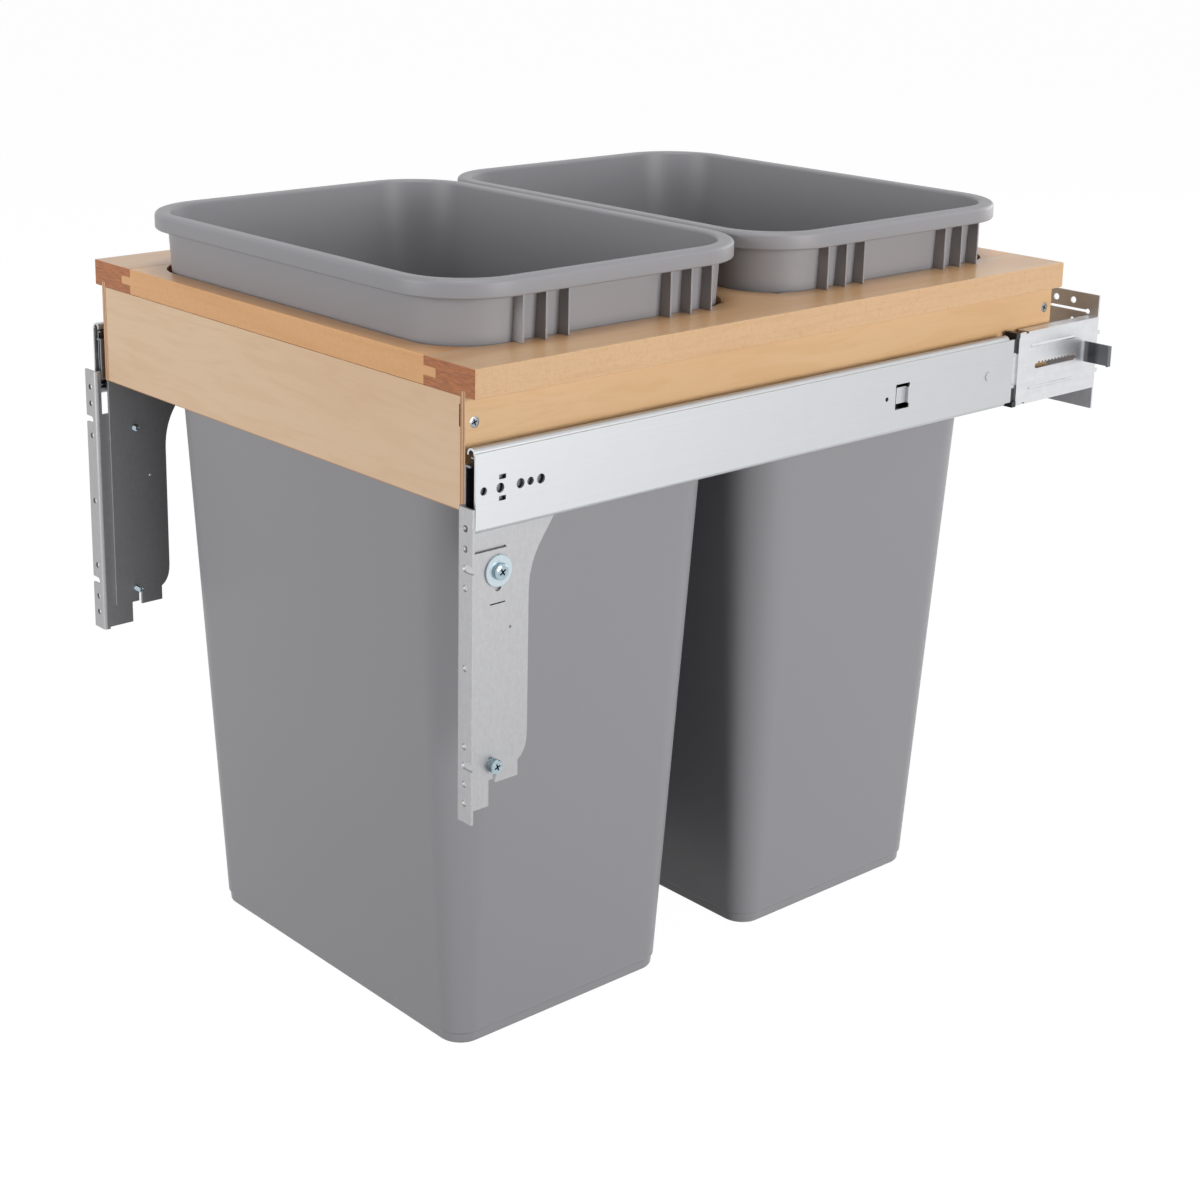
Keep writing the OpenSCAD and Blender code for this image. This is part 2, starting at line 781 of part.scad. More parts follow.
module wall_flange()
    difference() {
        block([sx(wall_flange_w), wall_y - sheet, sz(-wall_flange_h / 2)],
              [sx(0), wall_y, sz(wall_flange_h / 2)]);
        for (v = [-wall_screw_rise / 2, wall_screw_rise / 2])
            rod_y(wall_y - sheet - over, sheet + 2 * over, wall_screw_r, wall_screw_x, sz(v));
        rod_y(wall_y - sheet - over, sheet + 2 * over, wall_screw_r,
              wall_screw_x + wall_spare_x, sz(wall_screw_rise / 2));
        rod_y(wall_y - sheet - over, sheet + 2 * over, wall_pilot_r,
              wall_screw_x + wall_spare_x, sz(wall_pilot_v));
        along_y(wall_y - sheet - over, sheet + 2 * over)
            translate([wall_slot_x, sz(wall_slot_v)]) {
                slot_area(wall_slot_l, wall_slot_r);
                translate([wall_slot_l / 2 - wall_slot_r, 0]) circle(r = 2 * wall_slot_r);
            }
    }

module rear_bracket() {
    bracket_plate();
    wall_flange();
    for (v = [-bracket_v, bracket_v - sheet])
        block([sx(bracket_lip), bracket_lip_y, sz(v)], [sx(0), wall_y, sz(v + sheet)]);
    // The tongue, which lies on the inside of the cabinet member and of the plate
    difference() {
        block([sx(2 * sheet), slide_rear - tongue_back, sz(-tongue_v)],
              [sx(sheet), bracket_front + bracket_notch_from, sz(tongue_v)]);
        rod_x(sx(2 * sheet + over), sheet + 2 * over, rivet_r + screw_slack, rivet_y, slide_z);
    }
    // The lug on the side with its turned end, and the spikes that bite the wall
    lug_y = wall_y - lug_from_wall;
    block([sx(sheet), lug_y - sheet, sz(lug_v - lug_h / 2)],
          [sx(-lug_reach), lug_y, sz(lug_v + lug_h / 2)]);
    block([sx(sheet - lug_reach), lug_y - lug_turn, sz(lug_v - lug_h / 2)],
          [sx(-lug_reach), lug_y, sz(lug_v + lug_h / 2)]);
    for (v = [-spike_v, spike_v])
        block([sx(2 * sheet), wall_y - sheet, sz(v - spike_h / 2)],
              [sx(sheet), wall_y + spike_l, sz(v + spike_h / 2)]);
}

module left_rear_bracket() color("lightgray") left() rear_bracket();
module right_rear_bracket() color("lightgray") right() rear_bracket();

module rear_bracket_rivets()
    color("silver") both_sides() {
        rod_x(sx(0), rivet_head_h, rivet_head_r, rivet_y, slide_z);
        rod_x(sx(2 * sheet) - sink, 2 * sheet + 2 * sink, rivet_r, rivet_y, slide_z);
        rod_x(sx(2 * sheet + rivet_head_h), rivet_head_h, rivet_head_r, rivet_y, slide_z);
    }

// Door arm, right hand
// Points of a curve that leaves one point towards a corner and ends at another
function curve(from, corner, to, steps) =
    [for (i = [0 : steps])
        let (t = i / steps) (1 - t) * (1 - t) * from + 2 * t * (1 - t) * corner + t * t * to];

module arm_area() {
    slit_y = arm_front + arm_heel_w;
    edge = arm_front + arm_w;
    ankle = arm_front + arm_ankle_w;
    ankle_z = arm_foot_z + arm_ankle_rise;
    polygon(concat(
        [[arm_front, arm_top_z], [drawer_rear, arm_top_z], [drawer_rear, arm_leg_z],
         [arm_front + arm_root_w, arm_leg_z]],
        curve([edge + arm_bend_w, arm_leg_z - arm_bend_from], [edge, arm_leg_z - arm_bend_mid],
              [edge, arm_leg_z - arm_bend_to], arm_bend_steps),
        curve([edge, arm_foot_z + arm_calf_rise], [edge, ankle_z + arm_calf_bulge],
              [ankle, ankle_z], arm_calf_steps),
        [[ankle, arm_foot_z], [slit_y + arm_slit_w, arm_foot_z],
         [slit_y + arm_slit_w, arm_foot_z + arm_slit_rise],
         [slit_y, arm_foot_z + arm_slit_rise], [slit_y, arm_foot_z + arm_heel_rise],
         [arm_front, arm_foot_z + arm_heel_rise]]));
}

module door_arm()
    difference() {
        along_x(arm_x, arm_t) arm_area();
        slide_screw_holes();
        rod_x(arm_x - over, arm_t + 2 * over, bolt_r + screw_slack, bolt_y, upper_bolt_z);
        rod_x(arm_x - over, arm_t + 2 * over, low_bolt_r + screw_slack, low_bolt_y,
              lower_bolt_z);
        rod_x(arm_x - over, arm_t + 2 * over, arm_mark_r, arm_front + arm_mark_w,
              arm_leg_z - arm_mark_drop);
    }

// Door angle, right hand
module angle_flange()
    difference() {
        translate([0, 0, flange_foot_z]) linear_extrude(door_flange_h) {
            area([angle_x + bend_r, -door_gap], [flange_out_x, -door_gap + angle_t]);
            area([angle_x, -door_gap + bend_r], [plate_x, strip_y]);
            intersection() {
                translate([angle_x + bend_r, -door_gap + bend_r]) difference() {
                    circle(r = bend_r);
                    circle(r = bend_r - angle_t);
                }
                area([angle_x, -door_gap], [angle_x + bend_r, -door_gap + bend_r]);
            }
        }
        for (side = [-1, 1], share = flange_hole_shares)
            rod_y(-door_gap - over, angle_t + 2 * over, flange_hole_r, flange_hole_x,
                  flange_mid_z + side * share * door_flange_h);
        for (side = [-1, 1]) {
            slot_z = flange_mid_z + side * flange_slot_share * door_flange_h;
            rod_y(-door_gap - over, angle_t + 2 * over, flange_slot_r, flange_hole_x, slot_z);
            block([flange_hole_x, -door_gap - over, slot_z - flange_slot_r],
                  [flange_out_x + over, -door_gap + angle_t + over, slot_z + flange_slot_r]);
        }
    }

module angle_plate_area() {
    plate_foot = flange_foot_z + plate_rise;
    ear_top = flange_top_z - ear_from;
    difference() {
        union() {
            area([strip_y - over, plate_foot], [plate_y, ear_top]);
            area([strip_y - over, ear_top - ear_h], [ear_y, ear_top]);
        }
        translate([bolt_y, upper_bolt_z + (slot_up - slot_down) / 2]) rotate(90)
            slot_area(slot_up + slot_down + 2 * (bolt_r + bolt_gap), bolt_r + bolt_gap);
    }
}

module door_angle() {
    angle_flange();
    along_x(angle_x, angle_t) angle_plate_area();
}

module left_door_arm() color("darkgray") left() door_arm();
module right_door_arm() color("darkgray") right() door_arm();
module left_door_angle() color("silver") left() door_angle();
module right_door_angle() color("silver") right() door_angle();

module door_bracket_washers()
    color("azure") both_sides() difference() {
        rod_x(plate_x, washer_t, washer_r, bolt_y, upper_bolt_z);
        rod_x(plate_x - over, washer_t + 2 * over, bolt_r + screw_slack, bolt_y, upper_bolt_z);
    }

// A screw along x whose head stands on a face and whose shank runs inwards
module machine_screw(face_x, y, z, head_r, head_h, dome, shank_r, tail)
    difference() {
        union() {
            translate([face_x, y, z]) rotate([0, 90, 0]) rotate_extrude()
                polygon([[0, 0], [head_r, 0], [head_r, head_h - dome],
                         [head_r - dome, head_h], [0, head_h]]);
            rod_x(arm_x - tail, face_x - arm_x + tail + sink, shank_r, y, z);
        }
        translate([face_x + head_h * (1 - recess_depth_share), y, z]) rotate([0, 90, 0])
            cross_recess(head_r, head_h);
    }

module door_bracket_upper_screws()
    color("azure") both_sides()
        machine_screw(plate_x + washer_t, bolt_y, upper_bolt_z, upper_head_r, upper_head_h,
                      upper_dome, bolt_r, upper_tail);

module door_bracket_lower_screws()
    color("azure") both_sides()
        machine_screw(plate_x, low_bolt_y, lower_bolt_z, lower_head_r, lower_head_h, sink,
                      low_bolt_r, lower_tail);

// Bins: a shell lofted through rounded rectangles, each [width, depth, corner radius, height]
function ring(s) = [for (k = [0 : 3], i = [0 : corner_steps])
    let (a = 90 * (k - 1 + i / corner_steps), side_x = k < 2 ? 1 : -1,
         side_y = k == 1 || k == 2 ? 1 : -1)
    [side_x * (s[0] / 2 - s[2]) + s[2] * cos(a),
     side_y * (s[1] / 2 - s[2]) + s[2] * sin(a), s[3]]];

// The wall's section at a height z, drawn in by a distance on all sides
function wall(z, inset) =
    let (share = z / foot_z)
    [collar_w + (foot_w - collar_w) * share - 2 * inset,
     collar_d + (foot_d - collar_d) * share - 2 * inset,
     collar_r + (foot_r - collar_r) * share - inset, z];

// The rim's section at a height z, drawn in the same way
function rim(z, inset) = [rim_w - 2 * inset, rim_d - 2 * inset, rim_r - inset, z];

rim_bead = rim_skin / 2;
rim_shoulder_z = rim_top - rim_round;
bin_sections = concat(
    // Outside, from the foot up to the hollow under the rim and out over the band
    [wall(foot_z, foot_step_in + foot_ease), wall(foot_z + foot_ease, foot_step_in),
     wall(foot_z + foot_step_h, foot_step_in), wall(foot_z + foot_step_h + foot_step_in, 0),
     wall(0, 0), wall(rim_under_z, 0),
     rim(rim_under_z, rim_skin + rim_round / 2), rim(rim_shoulder_z, rim_skin),
     rim(band_z + rim_bead / 2, rim_skin), rim(band_z, rim_skin - rim_bead / 2),
     rim(band_z, rim_bead / 2), rim(band_z + rim_bead / 2, 0)],
    [for (i = [0 : round_steps])
        let (a = 90 * i / round_steps)
        rim(rim_shoulder_z + rim_round * sin(a), rim_round * (1 - cos(a)))],
    // Inside, from the rounded mouth down to the floor
    [for (i = [0 : round_steps])
        let (a = 90 * i / round_steps)
        wall(rim_top - bin_wall * (1 - cos(a)), bin_wall * sin(a))],
    [wall(foot_z + bin_wall + foot_ease, bin_wall),
     wall(foot_z + bin_wall, bin_wall + foot_ease)]);

module bin_shell() {
    n = 4 * (corner_steps + 1);
    rings = len(bin_sections);
    points = [for (s = bin_sections) each ring(s)];
    walls = [for (i = [0 : rings - 2], j = [0 : n - 1])
             let (a = i * n + j, b = i * n + (j + 1) % n)
             each [[a, a + n, b + n], [a, b + n, b]]];
    foot_face = [for (j = [0 : n - 1]) j];
    floor_face = [for (j = [n - 1 : -1 : 0]) (rings - 1) * n + j];
    polyhedron(points, concat(walls, [foot_face, floor_face]));
}

// The fins under the rim stand on the frame and carry the bin
module fin_area()
    polygon([[wall(0, bin_wall / 2)[0] / 2, sink], [fin_x, sink], [fin_x, rim_under_z + sink],
             [wall(rim_top, bin_wall / 2)[0] / 2, rim_under_z + sink]]);

module bin(y)
    translate([0, y, 0]) {
        bin_shell();
        both_sides() for (share = fin_group_shares, i = [-1 : 1])
            along_y((share + i * fin_pitch_share) * collar_d - fin_t / 2, fin_t) fin_area();
    }

module front_bin() color("gray") bin(bin_y[0]);
module rear_bin() color("gray") bin(bin_y[1]);

place() left_stile();
place() right_stile();
place() front_rail();
place() centre_rail();
place() rear_rail();
place() apron_left();
place() apron_right();
place() apron_front();
place() apron_rear();
place() apron_screws();
place() left_cabinet_member();
place() right_cabinet_member();
place() left_intermediate_member();
place() right_intermediate_member();
place() left_drawer_member();
place() right_drawer_member();
place() left_outer_cage();
place() right_outer_cage();
place() left_inner_cage();
place() right_inner_cage();
place() left_outer_balls();
place() right_outer_balls();
place() left_inner_balls();
place() right_inner_balls();
place() left_soft_close_housing();
place() right_soft_close_housing();
place() left_soft_close_damper();
place() right_soft_close_damper();
place() left_soft_close_catch();
place() right_soft_close_catch();
place() left_soft_close_spring();
place() right_soft_close_spring();
place() slide_screws();
place() left_end_cap();
place() right_end_cap();
place() left_rear_bracket();
place() right_rear_bracket();
place() rear_bracket_rivets();
place() left_door_arm();
place() right_door_arm();
place() left_door_angle();
place() right_door_angle();
place() door_bracket_washers();
place() door_bracket_upper_screws();
place() door_bracket_lower_screws();
place() front_bin();
place() rear_bin();
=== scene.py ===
import json
from math import cos, pi, radians, sin

import bmesh
import bpy
from mathutils import Matrix, Vector

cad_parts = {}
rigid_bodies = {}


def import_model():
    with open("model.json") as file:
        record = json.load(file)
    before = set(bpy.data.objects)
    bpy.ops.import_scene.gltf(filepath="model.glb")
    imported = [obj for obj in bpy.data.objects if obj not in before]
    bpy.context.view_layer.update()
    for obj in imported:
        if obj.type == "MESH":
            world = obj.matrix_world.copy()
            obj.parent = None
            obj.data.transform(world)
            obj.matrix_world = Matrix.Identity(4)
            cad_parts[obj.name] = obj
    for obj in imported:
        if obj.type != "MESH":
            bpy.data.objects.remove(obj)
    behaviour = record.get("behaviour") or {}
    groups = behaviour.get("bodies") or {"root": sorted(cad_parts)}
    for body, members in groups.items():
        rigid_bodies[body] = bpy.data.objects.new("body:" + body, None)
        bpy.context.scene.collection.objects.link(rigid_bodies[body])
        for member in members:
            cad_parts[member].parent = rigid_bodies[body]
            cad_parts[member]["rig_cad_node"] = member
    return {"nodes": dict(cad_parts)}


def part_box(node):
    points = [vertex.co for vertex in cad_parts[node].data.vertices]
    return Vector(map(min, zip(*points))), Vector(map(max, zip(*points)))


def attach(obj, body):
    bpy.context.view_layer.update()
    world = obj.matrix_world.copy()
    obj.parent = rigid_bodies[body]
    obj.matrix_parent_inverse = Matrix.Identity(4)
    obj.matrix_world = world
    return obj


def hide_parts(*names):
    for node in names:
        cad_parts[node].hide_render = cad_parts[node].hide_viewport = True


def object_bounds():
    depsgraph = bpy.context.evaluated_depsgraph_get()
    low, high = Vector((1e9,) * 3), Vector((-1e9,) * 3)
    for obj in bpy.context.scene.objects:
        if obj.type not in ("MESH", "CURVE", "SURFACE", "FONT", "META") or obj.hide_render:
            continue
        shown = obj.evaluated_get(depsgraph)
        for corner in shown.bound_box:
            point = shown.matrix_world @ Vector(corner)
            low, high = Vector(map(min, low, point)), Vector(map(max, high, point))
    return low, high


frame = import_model()
cad_box = [list(corner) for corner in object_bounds()]


# Frame boards: five boards of hard maple, glued tongue in groove round the two cut-outs.
# Each is planed, its edges are eased, and the frame is finished with clear satin lacquer.
mm = 0.001
board_ease = 0.7 * mm


class Shade:
    """One value of a finish, with Python's arithmetic."""

    def __init__(self, finish, socket):
        self.finish = finish
        self.socket = socket

    def sum_of(self, kind, a, b=0.0):
        return self.finish.node("ShaderNodeMath", {"operation": kind}, {0: a, 1: b})

    def __add__(self, other):
        return self.sum_of("ADD", self, other)

    def __radd__(self, other):
        return self.sum_of("ADD", other, self)

    def __sub__(self, other):
        return self.sum_of("SUBTRACT", self, other)

    def __rsub__(self, other):
        return self.sum_of("SUBTRACT", other, self)

    def __mul__(self, other):
        return self.sum_of("MULTIPLY", self, other)

    def __rmul__(self, other):
        return self.sum_of("MULTIPLY", other, self)

    def __abs__(self):
        return self.sum_of("ABSOLUTE", self)

    def at_least(self, other):
        return self.sum_of("MAXIMUM", self, other)


class Finish:
    """A material whose values are worked out from the place of each point."""

    def __init__(self, name, **fixed):
        self.material = bpy.data.materials.new(name)
        self.material.use_nodes = True
        self.tree = self.material.node_tree
        self.shader = self.tree.nodes["Principled BSDF"]
        for key, value in fixed.items():
            self.shader.inputs[key.replace("_", " ")].default_value = value
        self.place = self.node("ShaderNodeTexCoord", out="Object")

    def node(self, kind, settings=None, inputs=None, out=0):
        """Adds any node: first its settings, then a value or a link for each input."""
        made = self.tree.nodes.new(kind)
        for key, value in (settings or {}).items():
            setattr(made, key, value)
        for key, value in (inputs or {}).items():
            if isinstance(value, Shade):
                self.tree.links.new(value.socket, made.inputs[key])
            else:
                made.inputs[key].default_value = value
        return Shade(self, made.outputs[out])

    def scaled(self, vector, by):
        return self.node("ShaderNodeVectorMath", {"operation": "MULTIPLY"}, {0: vector, 1: by})

    def moved(self, vector, by):
        return self.node("ShaderNodeVectorMath", {"operation": "ADD"}, {0: vector, 1: by})

    def axis(self, vector, name):
        return self.node("ShaderNodeSeparateXYZ", None, {0: vector}, name)

    def noise(self, vector, scale, detail=2.0, rough=0.5, warp=0.0):
        return self.node("ShaderNodeTexNoise", None,
                         {"Vector": vector, "Scale": scale, "Detail": detail,
                          "Roughness": rough, "Distortion": warp}, "Fac")

    def step(self, value, low, high):
        """Rises smoothly from 0 at the low value to 1 at the high one."""
        return self.node("ShaderNodeMapRange", {"interpolation_type": "SMOOTHSTEP"},
                         {0: value, 1: low, 2: high})

    def mix(self, a, b, share):
        """Goes from one colour to another by a share of the second."""
        return self.node("ShaderNodeMix", {"data_type": "RGBA"}, {0: share, 6: a, 7: b}, 2)

    def bump(self, height, distance, strength):
        return self.node("ShaderNodeBump", None, {"Height": height, "Distance": distance,
                                                  "Strength": strength})

    def wear(self, **varied):
        """Links values to the shader's inputs and hands out the material."""
        for key, value in varied.items():
            self.tree.links.new(value.socket, self.shader.inputs[key.replace("_", " ")])
        return self.material


def ink(r, g, b):
    """Turns a colour in screen values, 0 to 255, into a linear one."""
    def linear(v):
        v = v / 255
        return v / 12.92 if v <= 0.04045 else ((v + 0.055) / 1.055) ** 2.4
    return (linear(r), linear(g), linear(b), 1.0)


def deeper(light, r, g, b):
    """A colour that lies some screen values below a light one."""
    return ink(light[0] - r, light[1] - g, light[2] - b)


def pick(piece):
    """Selects one piece alone and makes it the active one."""
    bpy.ops.object.select_all(action="DESELECT")
    piece.select_set(True)
    bpy.context.view_layer.objects.active = piece


def copied(piece):
    """Copies a piece with its own mesh."""
    pick(piece)
    bpy.ops.object.duplicate()
    return bpy.context.object


def evened(piece):
    """Smooths the rounded edges and leaves the large faces flat."""
    bpy.ops.object.shade_smooth_by_angle(angle=radians(35))
    flat = piece.modifiers.new("flat", "WEIGHTED_NORMAL")
    flat.keep_sharp = True
    flat.weight = 100
    bpy.ops.object.modifier_apply(modifier="flat")


def eased(node, name, width):
    """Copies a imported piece, joins its faces again and eases its long sharp edges."""
    piece = copied(frame["nodes"][node])
    del piece["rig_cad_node"]
    piece.name = name
    piece.data.materials.clear()
    bpy.ops.object.mode_set(mode="EDIT")
    bpy.ops.mesh.select_all(action="SELECT")
    bpy.ops.mesh.remove_doubles(threshold=0.01 * mm)
    bpy.ops.mesh.dissolve_limited(angle_limit=radians(0.8))
    bpy.ops.mesh.select_mode(type="EDGE")
    bpy.ops.mesh.select_all(action="DESELECT")
    bpy.ops.mesh.edges_select_sharp(sharpness=radians(40))
    bpy.ops.object.mode_set(mode="OBJECT")
    shortest = 3 * mm
    points = piece.data.vertices
    for edge in piece.data.edges:
        a, b = edge.vertices
        if edge.select and (points[a].co - points[b].co).length < shortest:
            edge.select = False
    bpy.ops.object.mode_set(mode="EDIT")
    bpy.ops.mesh.bevel(offset=width, segments=2, profile=0.5, clamp_overlap=True)
    bpy.ops.object.mode_set(mode="OBJECT")
    evened(piece)
    return piece


def finished(piece, body, material, node):
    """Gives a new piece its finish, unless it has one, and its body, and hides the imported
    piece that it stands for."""
    if not piece.data.materials:
        piece.data.materials.append(material)
    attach(piece, body)
    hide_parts(node)


def maple(name, along, shift, light):
    """Hard maple, planed and lacquered: soft bands, fine streaks and short flecks run along
    the board, rays dapple its sides, and its ends are darker."""
    wood = Finish(name, IOR=1.5, Coat_Weight=0.3, Coat_Roughness=0.16, Coat_IOR=1.5)
    place = wood.moved(wood.place, shift)

    def run(by):
        return wood.scaled(place, (1, by, 1) if along == "Y" else (by, 1, 1))

    bands = wood.noise(run(0.07), 24.0, warp=0.8)
    streak = wood.noise(run(0.035), 230.0, detail=3.0, rough=0.6)
    fibre = wood.noise(run(0.06), 1500.0, rough=0.6)
    fleck = wood.step(wood.noise(run(0.22), 560.0, detail=1.0), 0.60, 0.72)
    facing = wood.node("ShaderNodeTexCoord", out="Normal")
    end = wood.step(abs(wood.axis(facing, along)), 0.55, 0.8)
    side = (1 - wood.step(abs(wood.axis(facing, "Z")), 0.4, 0.7)) * (1 - end)
    upright = wood.noise(wood.scaled(place, (1, 1, 0.16)), 1500.0, detail=1.0)
    level = wood.noise(wood.scaled(place, (1, 0.16, 1)), 1500.0, detail=1.0)
    rays = (wood.step(upright, 0.5, 0.7) * 0.6 + wood.step(level, 0.5, 0.7) * 0.4) * side
    tone = wood.mix(ink(*light), deeper(light, 13, 20, 25), wood.step(bands, 0.38, 0.66))
    tone = wood.mix(tone, deeper(light, 22, 34, 42), wood.step(streak, 0.46, 0.78) * 0.34)
    tone = wood.mix(tone, deeper(light, 30, 46, 56), fleck * 0.20)
    tone = wood.mix(tone, deeper(light, 20, 30, 36), rays * 0.42)
    pores = wood.noise(wood.place, 1300.0, rough=0.6)
    tilted = wood.node("ShaderNodeMapping", None, {"Vector": wood.place,
                                                   "Rotation": (0.0, 0.35, 0.35),
                                                   "Scale": (0.12, 0.12, 1.0)})
    lines = wood.noise(tilted, 900.0, detail=3.0, rough=0.6, warp=0.4)
    sawn = wood.mix(ink(188, 116, 64), ink(152, 86, 44),
                    wood.step(lines * 0.7 + pores * 0.3, 0.36, 0.64))
    height = fibre * 0.4 + fleck * -0.2 + rays * -0.2 + pores * end * 0.7
    return wood.wear(Base_Color=wood.mix(tone, sawn, end),
                     Roughness=0.36 + fibre * 0.10 + end * 0.18,
                     Normal=wood.bump(height, 0.1 * mm, 0.5))


right_stile_wood = maple("maple_stile", "Y", (0.0, 0.0, 0.0), (222, 182, 138))
left_stile_wood = maple("maple_stile_left", "Y", (0.3, 0.7, 0.0), (216, 174, 130))
rail_wood = maple("maple_rail", "X", (0.4, 0.0, 0.0), (232, 176, 118))
middle_rail_wood = maple("maple_middle_rail", "X", (0.9, 0.2, 0.0), (220, 178, 134))
for node, wood in (("left_stile", left_stile_wood), ("right_stile", right_stile_wood),
                   ("front_rail", rail_wood), ("centre_rail", middle_rail_wood),
                   ("rear_rail", rail_wood)):
    finished(eased(node, node + "_board", board_ease), "drawer", wood, node)


# Apron: four panels of birch plywood, the sides housed in grooves under the stiles and
# rabbeted for the ends, glued and screwed. The veneers show as fine lines along every edge.
panel_ease = 0.4 * mm
pale_and_dark_ply = 2.5 * mm
apron_low, apron_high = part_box("apron_front")

# The open joint at the right end of the front panel, and how far a blade starts outside
joint_wide = 0.9 * mm
joint_deep = 4 * mm
joint_foot = apron_low.z + 53 * mm
joint_top = apron_low.z + 67 * mm
over = 1 * mm


def birch(name, face, along, shift, light):
    """Birch plywood whose face veneer looks along one axis, with its plies on the edges and
    a browner eased edge at the foot."""
    ply = Finish(name, IOR=1.5)
    place = ply.moved(ply.place, shift)

    def run(by):
        return ply.scaled(place, (by, 1, 1) if along == "X" else (1, by, 1))

    flame = ply.noise(run(0.14), 75.0, warp=1.6)
    streak = ply.noise(run(0.03), 700.0, detail=3.0, rough=0.6)
    broad = ply.noise(run(0.4), 9.0)
    tone = ply.mix(ink(*light), deeper(light, 9, 13, 19), ply.step(flame, 0.42, 0.68) * 0.45)
    tone = ply.mix(tone, deeper(light, 10, 18, 26), ply.step(broad, 0.35, 0.75) * 0.4)
    tone = ply.mix(tone, deeper(light, 20, 30, 40), ply.step(streak, 0.5, 0.8) * 0.22)
    facing = ply.node("ShaderNodeTexCoord", out="Normal")
    edge = 1 - ply.step(abs(ply.axis(facing, face)), 0.55, 0.8)
    plies = ply.node("ShaderNodeMath", {"operation": "FRACT"},
                     {0: ply.axis(ply.place, face) * (1 / pale_and_dark_ply)})
    cross = ply.step(plies, 0.40, 0.5) * (1 - ply.step(plies, 0.90, 1.0))
    veneers = ply.mix(ink(222, 182, 142), ink(182, 130, 92), cross)
    veneers = ply.mix(veneers, ink(150, 100, 66), ply.step(streak, 0.5, 0.75) * 0.35)
    at_foot = 1 - ply.step(ply.axis(ply.place, "Z"), apron_low.z + panel_ease,
                           apron_low.z + 1.1 * mm)
    tone = ply.mix(tone, ink(186, 122, 74), at_foot * 0.75)
    return ply.wear(Base_Color=ply.mix(tone, veneers, edge), Roughness=0.40 + streak * 0.10,
                    Normal=ply.bump(streak * 0.3 + cross * edge * 0.4, 0.1 * mm, 0.5))


def combined(piece, tool, way):
    """Cuts a tool out of a piece, or joins it on, and takes the tool away. A tool's own
    finish stays on the faces that it leaves."""
    pick(piece)
    change = piece.modifiers.new("change", "BOOLEAN")
    change.operation = way
    change.solver = "EXACT"
    if tool.data.materials:
        change.material_mode = "TRANSFER"
    change.object = tool
    bpy.ops.object.modifier_apply(modifier="change")
    bpy.data.objects.remove(tool)


def slit(piece, low, high, inside):
    """Cuts a narrow gap between two corners, with its own finish inside."""
    bpy.ops.object.select_all(action="DESELECT")
    low, high = Vector(low), Vector(high)
    bpy.ops.mesh.primitive_cube_add(size=1, location=(low + high) / 2, scale=high - low)
    blade = bpy.context.object
    blade.data.materials.append(inside)
    combined(piece, blade, "DIFFERENCE")
    evened(piece)


def shadowed(name, light, dark):
    """Painted shade for the inside of a narrow gap, where hardly any light comes, in a mottled
    dark colour.
    """
    gap = Finish(name, Roughness=0.8)
    shade_mottle = gap.noise(gap.place, 900.0, rough=0.6)
    return gap.wear(Base_Color=gap.mix(ink(*light), ink(*dark), gap.step(shade_mottle, 0.4, 0.6)))


# Painted shade, reddish brown, inside the open joint at the front panel's right end
joint_shade = shadowed("open_joint", (150, 86, 54), (112, 60, 36))
end_ply = birch("birch_end", "Y", "X", (0.13, 0.0, 0.02), (236, 205, 172))
side_ply = birch("birch_side", "X", "Y", (0.0, 0.21, 0.05), (222, 184, 140))
for node, ply in (("apron_left", side_ply), ("apron_right", side_ply),
                  ("apron_front", end_ply), ("apron_rear", end_ply)):
    panel = eased(node, node + "_panel", panel_ease)
    if node == "apron_front":
        panel.data.materials.append(ply)
        slit(panel, (apron_high.x - joint_wide, apron_low.y - over, joint_foot),
             (apron_high.x + over, apron_low.y + joint_deep, joint_top), joint_shade)
    finished(panel, "drawer", ply, node)


# Apron screws: eight countersunk wood screws of bright zinc with cross recesses, driven
# through the side panels into the ends of the end panels.
def turned(profile, name, steps=48):
    """Extrudes a disc along a profile of radius and height, as a turner cuts a blank."""
    bpy.ops.object.select_all(action="DESELECT")
    r, z = profile[0]
    bpy.ops.mesh.primitive_circle_add(vertices=steps, radius=r, fill_type="NGON",
                                      location=(0, 0, z))
    piece = bpy.context.object
    piece.name = name
    bpy.ops.object.transform_apply(location=True)
    bpy.ops.object.mode_set(mode="EDIT")
    bpy.ops.mesh.select_mode(type="FACE")
    bpy.ops.mesh.select_all(action="SELECT")
    for next_r, next_z in profile[1:]:
        bpy.ops.mesh.extrude_region_move(TRANSFORM_OT_translate={"value": (0, 0, next_z - z)})
        share = next_r / r
        bpy.ops.transform.resize(value=(share, share, 1), center_override=(0, 0, next_z))
        r, z = next_r, next_z
    bpy.ops.mesh.select_all(action="SELECT")
    bpy.ops.mesh.normals_make_consistent(inside=False)
    bpy.ops.object.mode_set(mode="OBJECT")
    return piece


def choose(piece, kind, wanted):
    """Selects the points, edges or faces that are wanted and stays in edit mode."""
    bpy.ops.object.mode_set(mode="EDIT")
    bpy.ops.mesh.select_mode(type=kind)
    bpy.ops.mesh.select_all(action="DESELECT")
    bpy.ops.object.mode_set(mode="OBJECT")
    parts = {"VERT": piece.data.vertices, "EDGE": piece.data.edges,
             "FACE": piece.data.polygons}
    for part in parts[kind]:
        part.select = wanted(part)
    bpy.ops.object.mode_set(mode="EDIT")


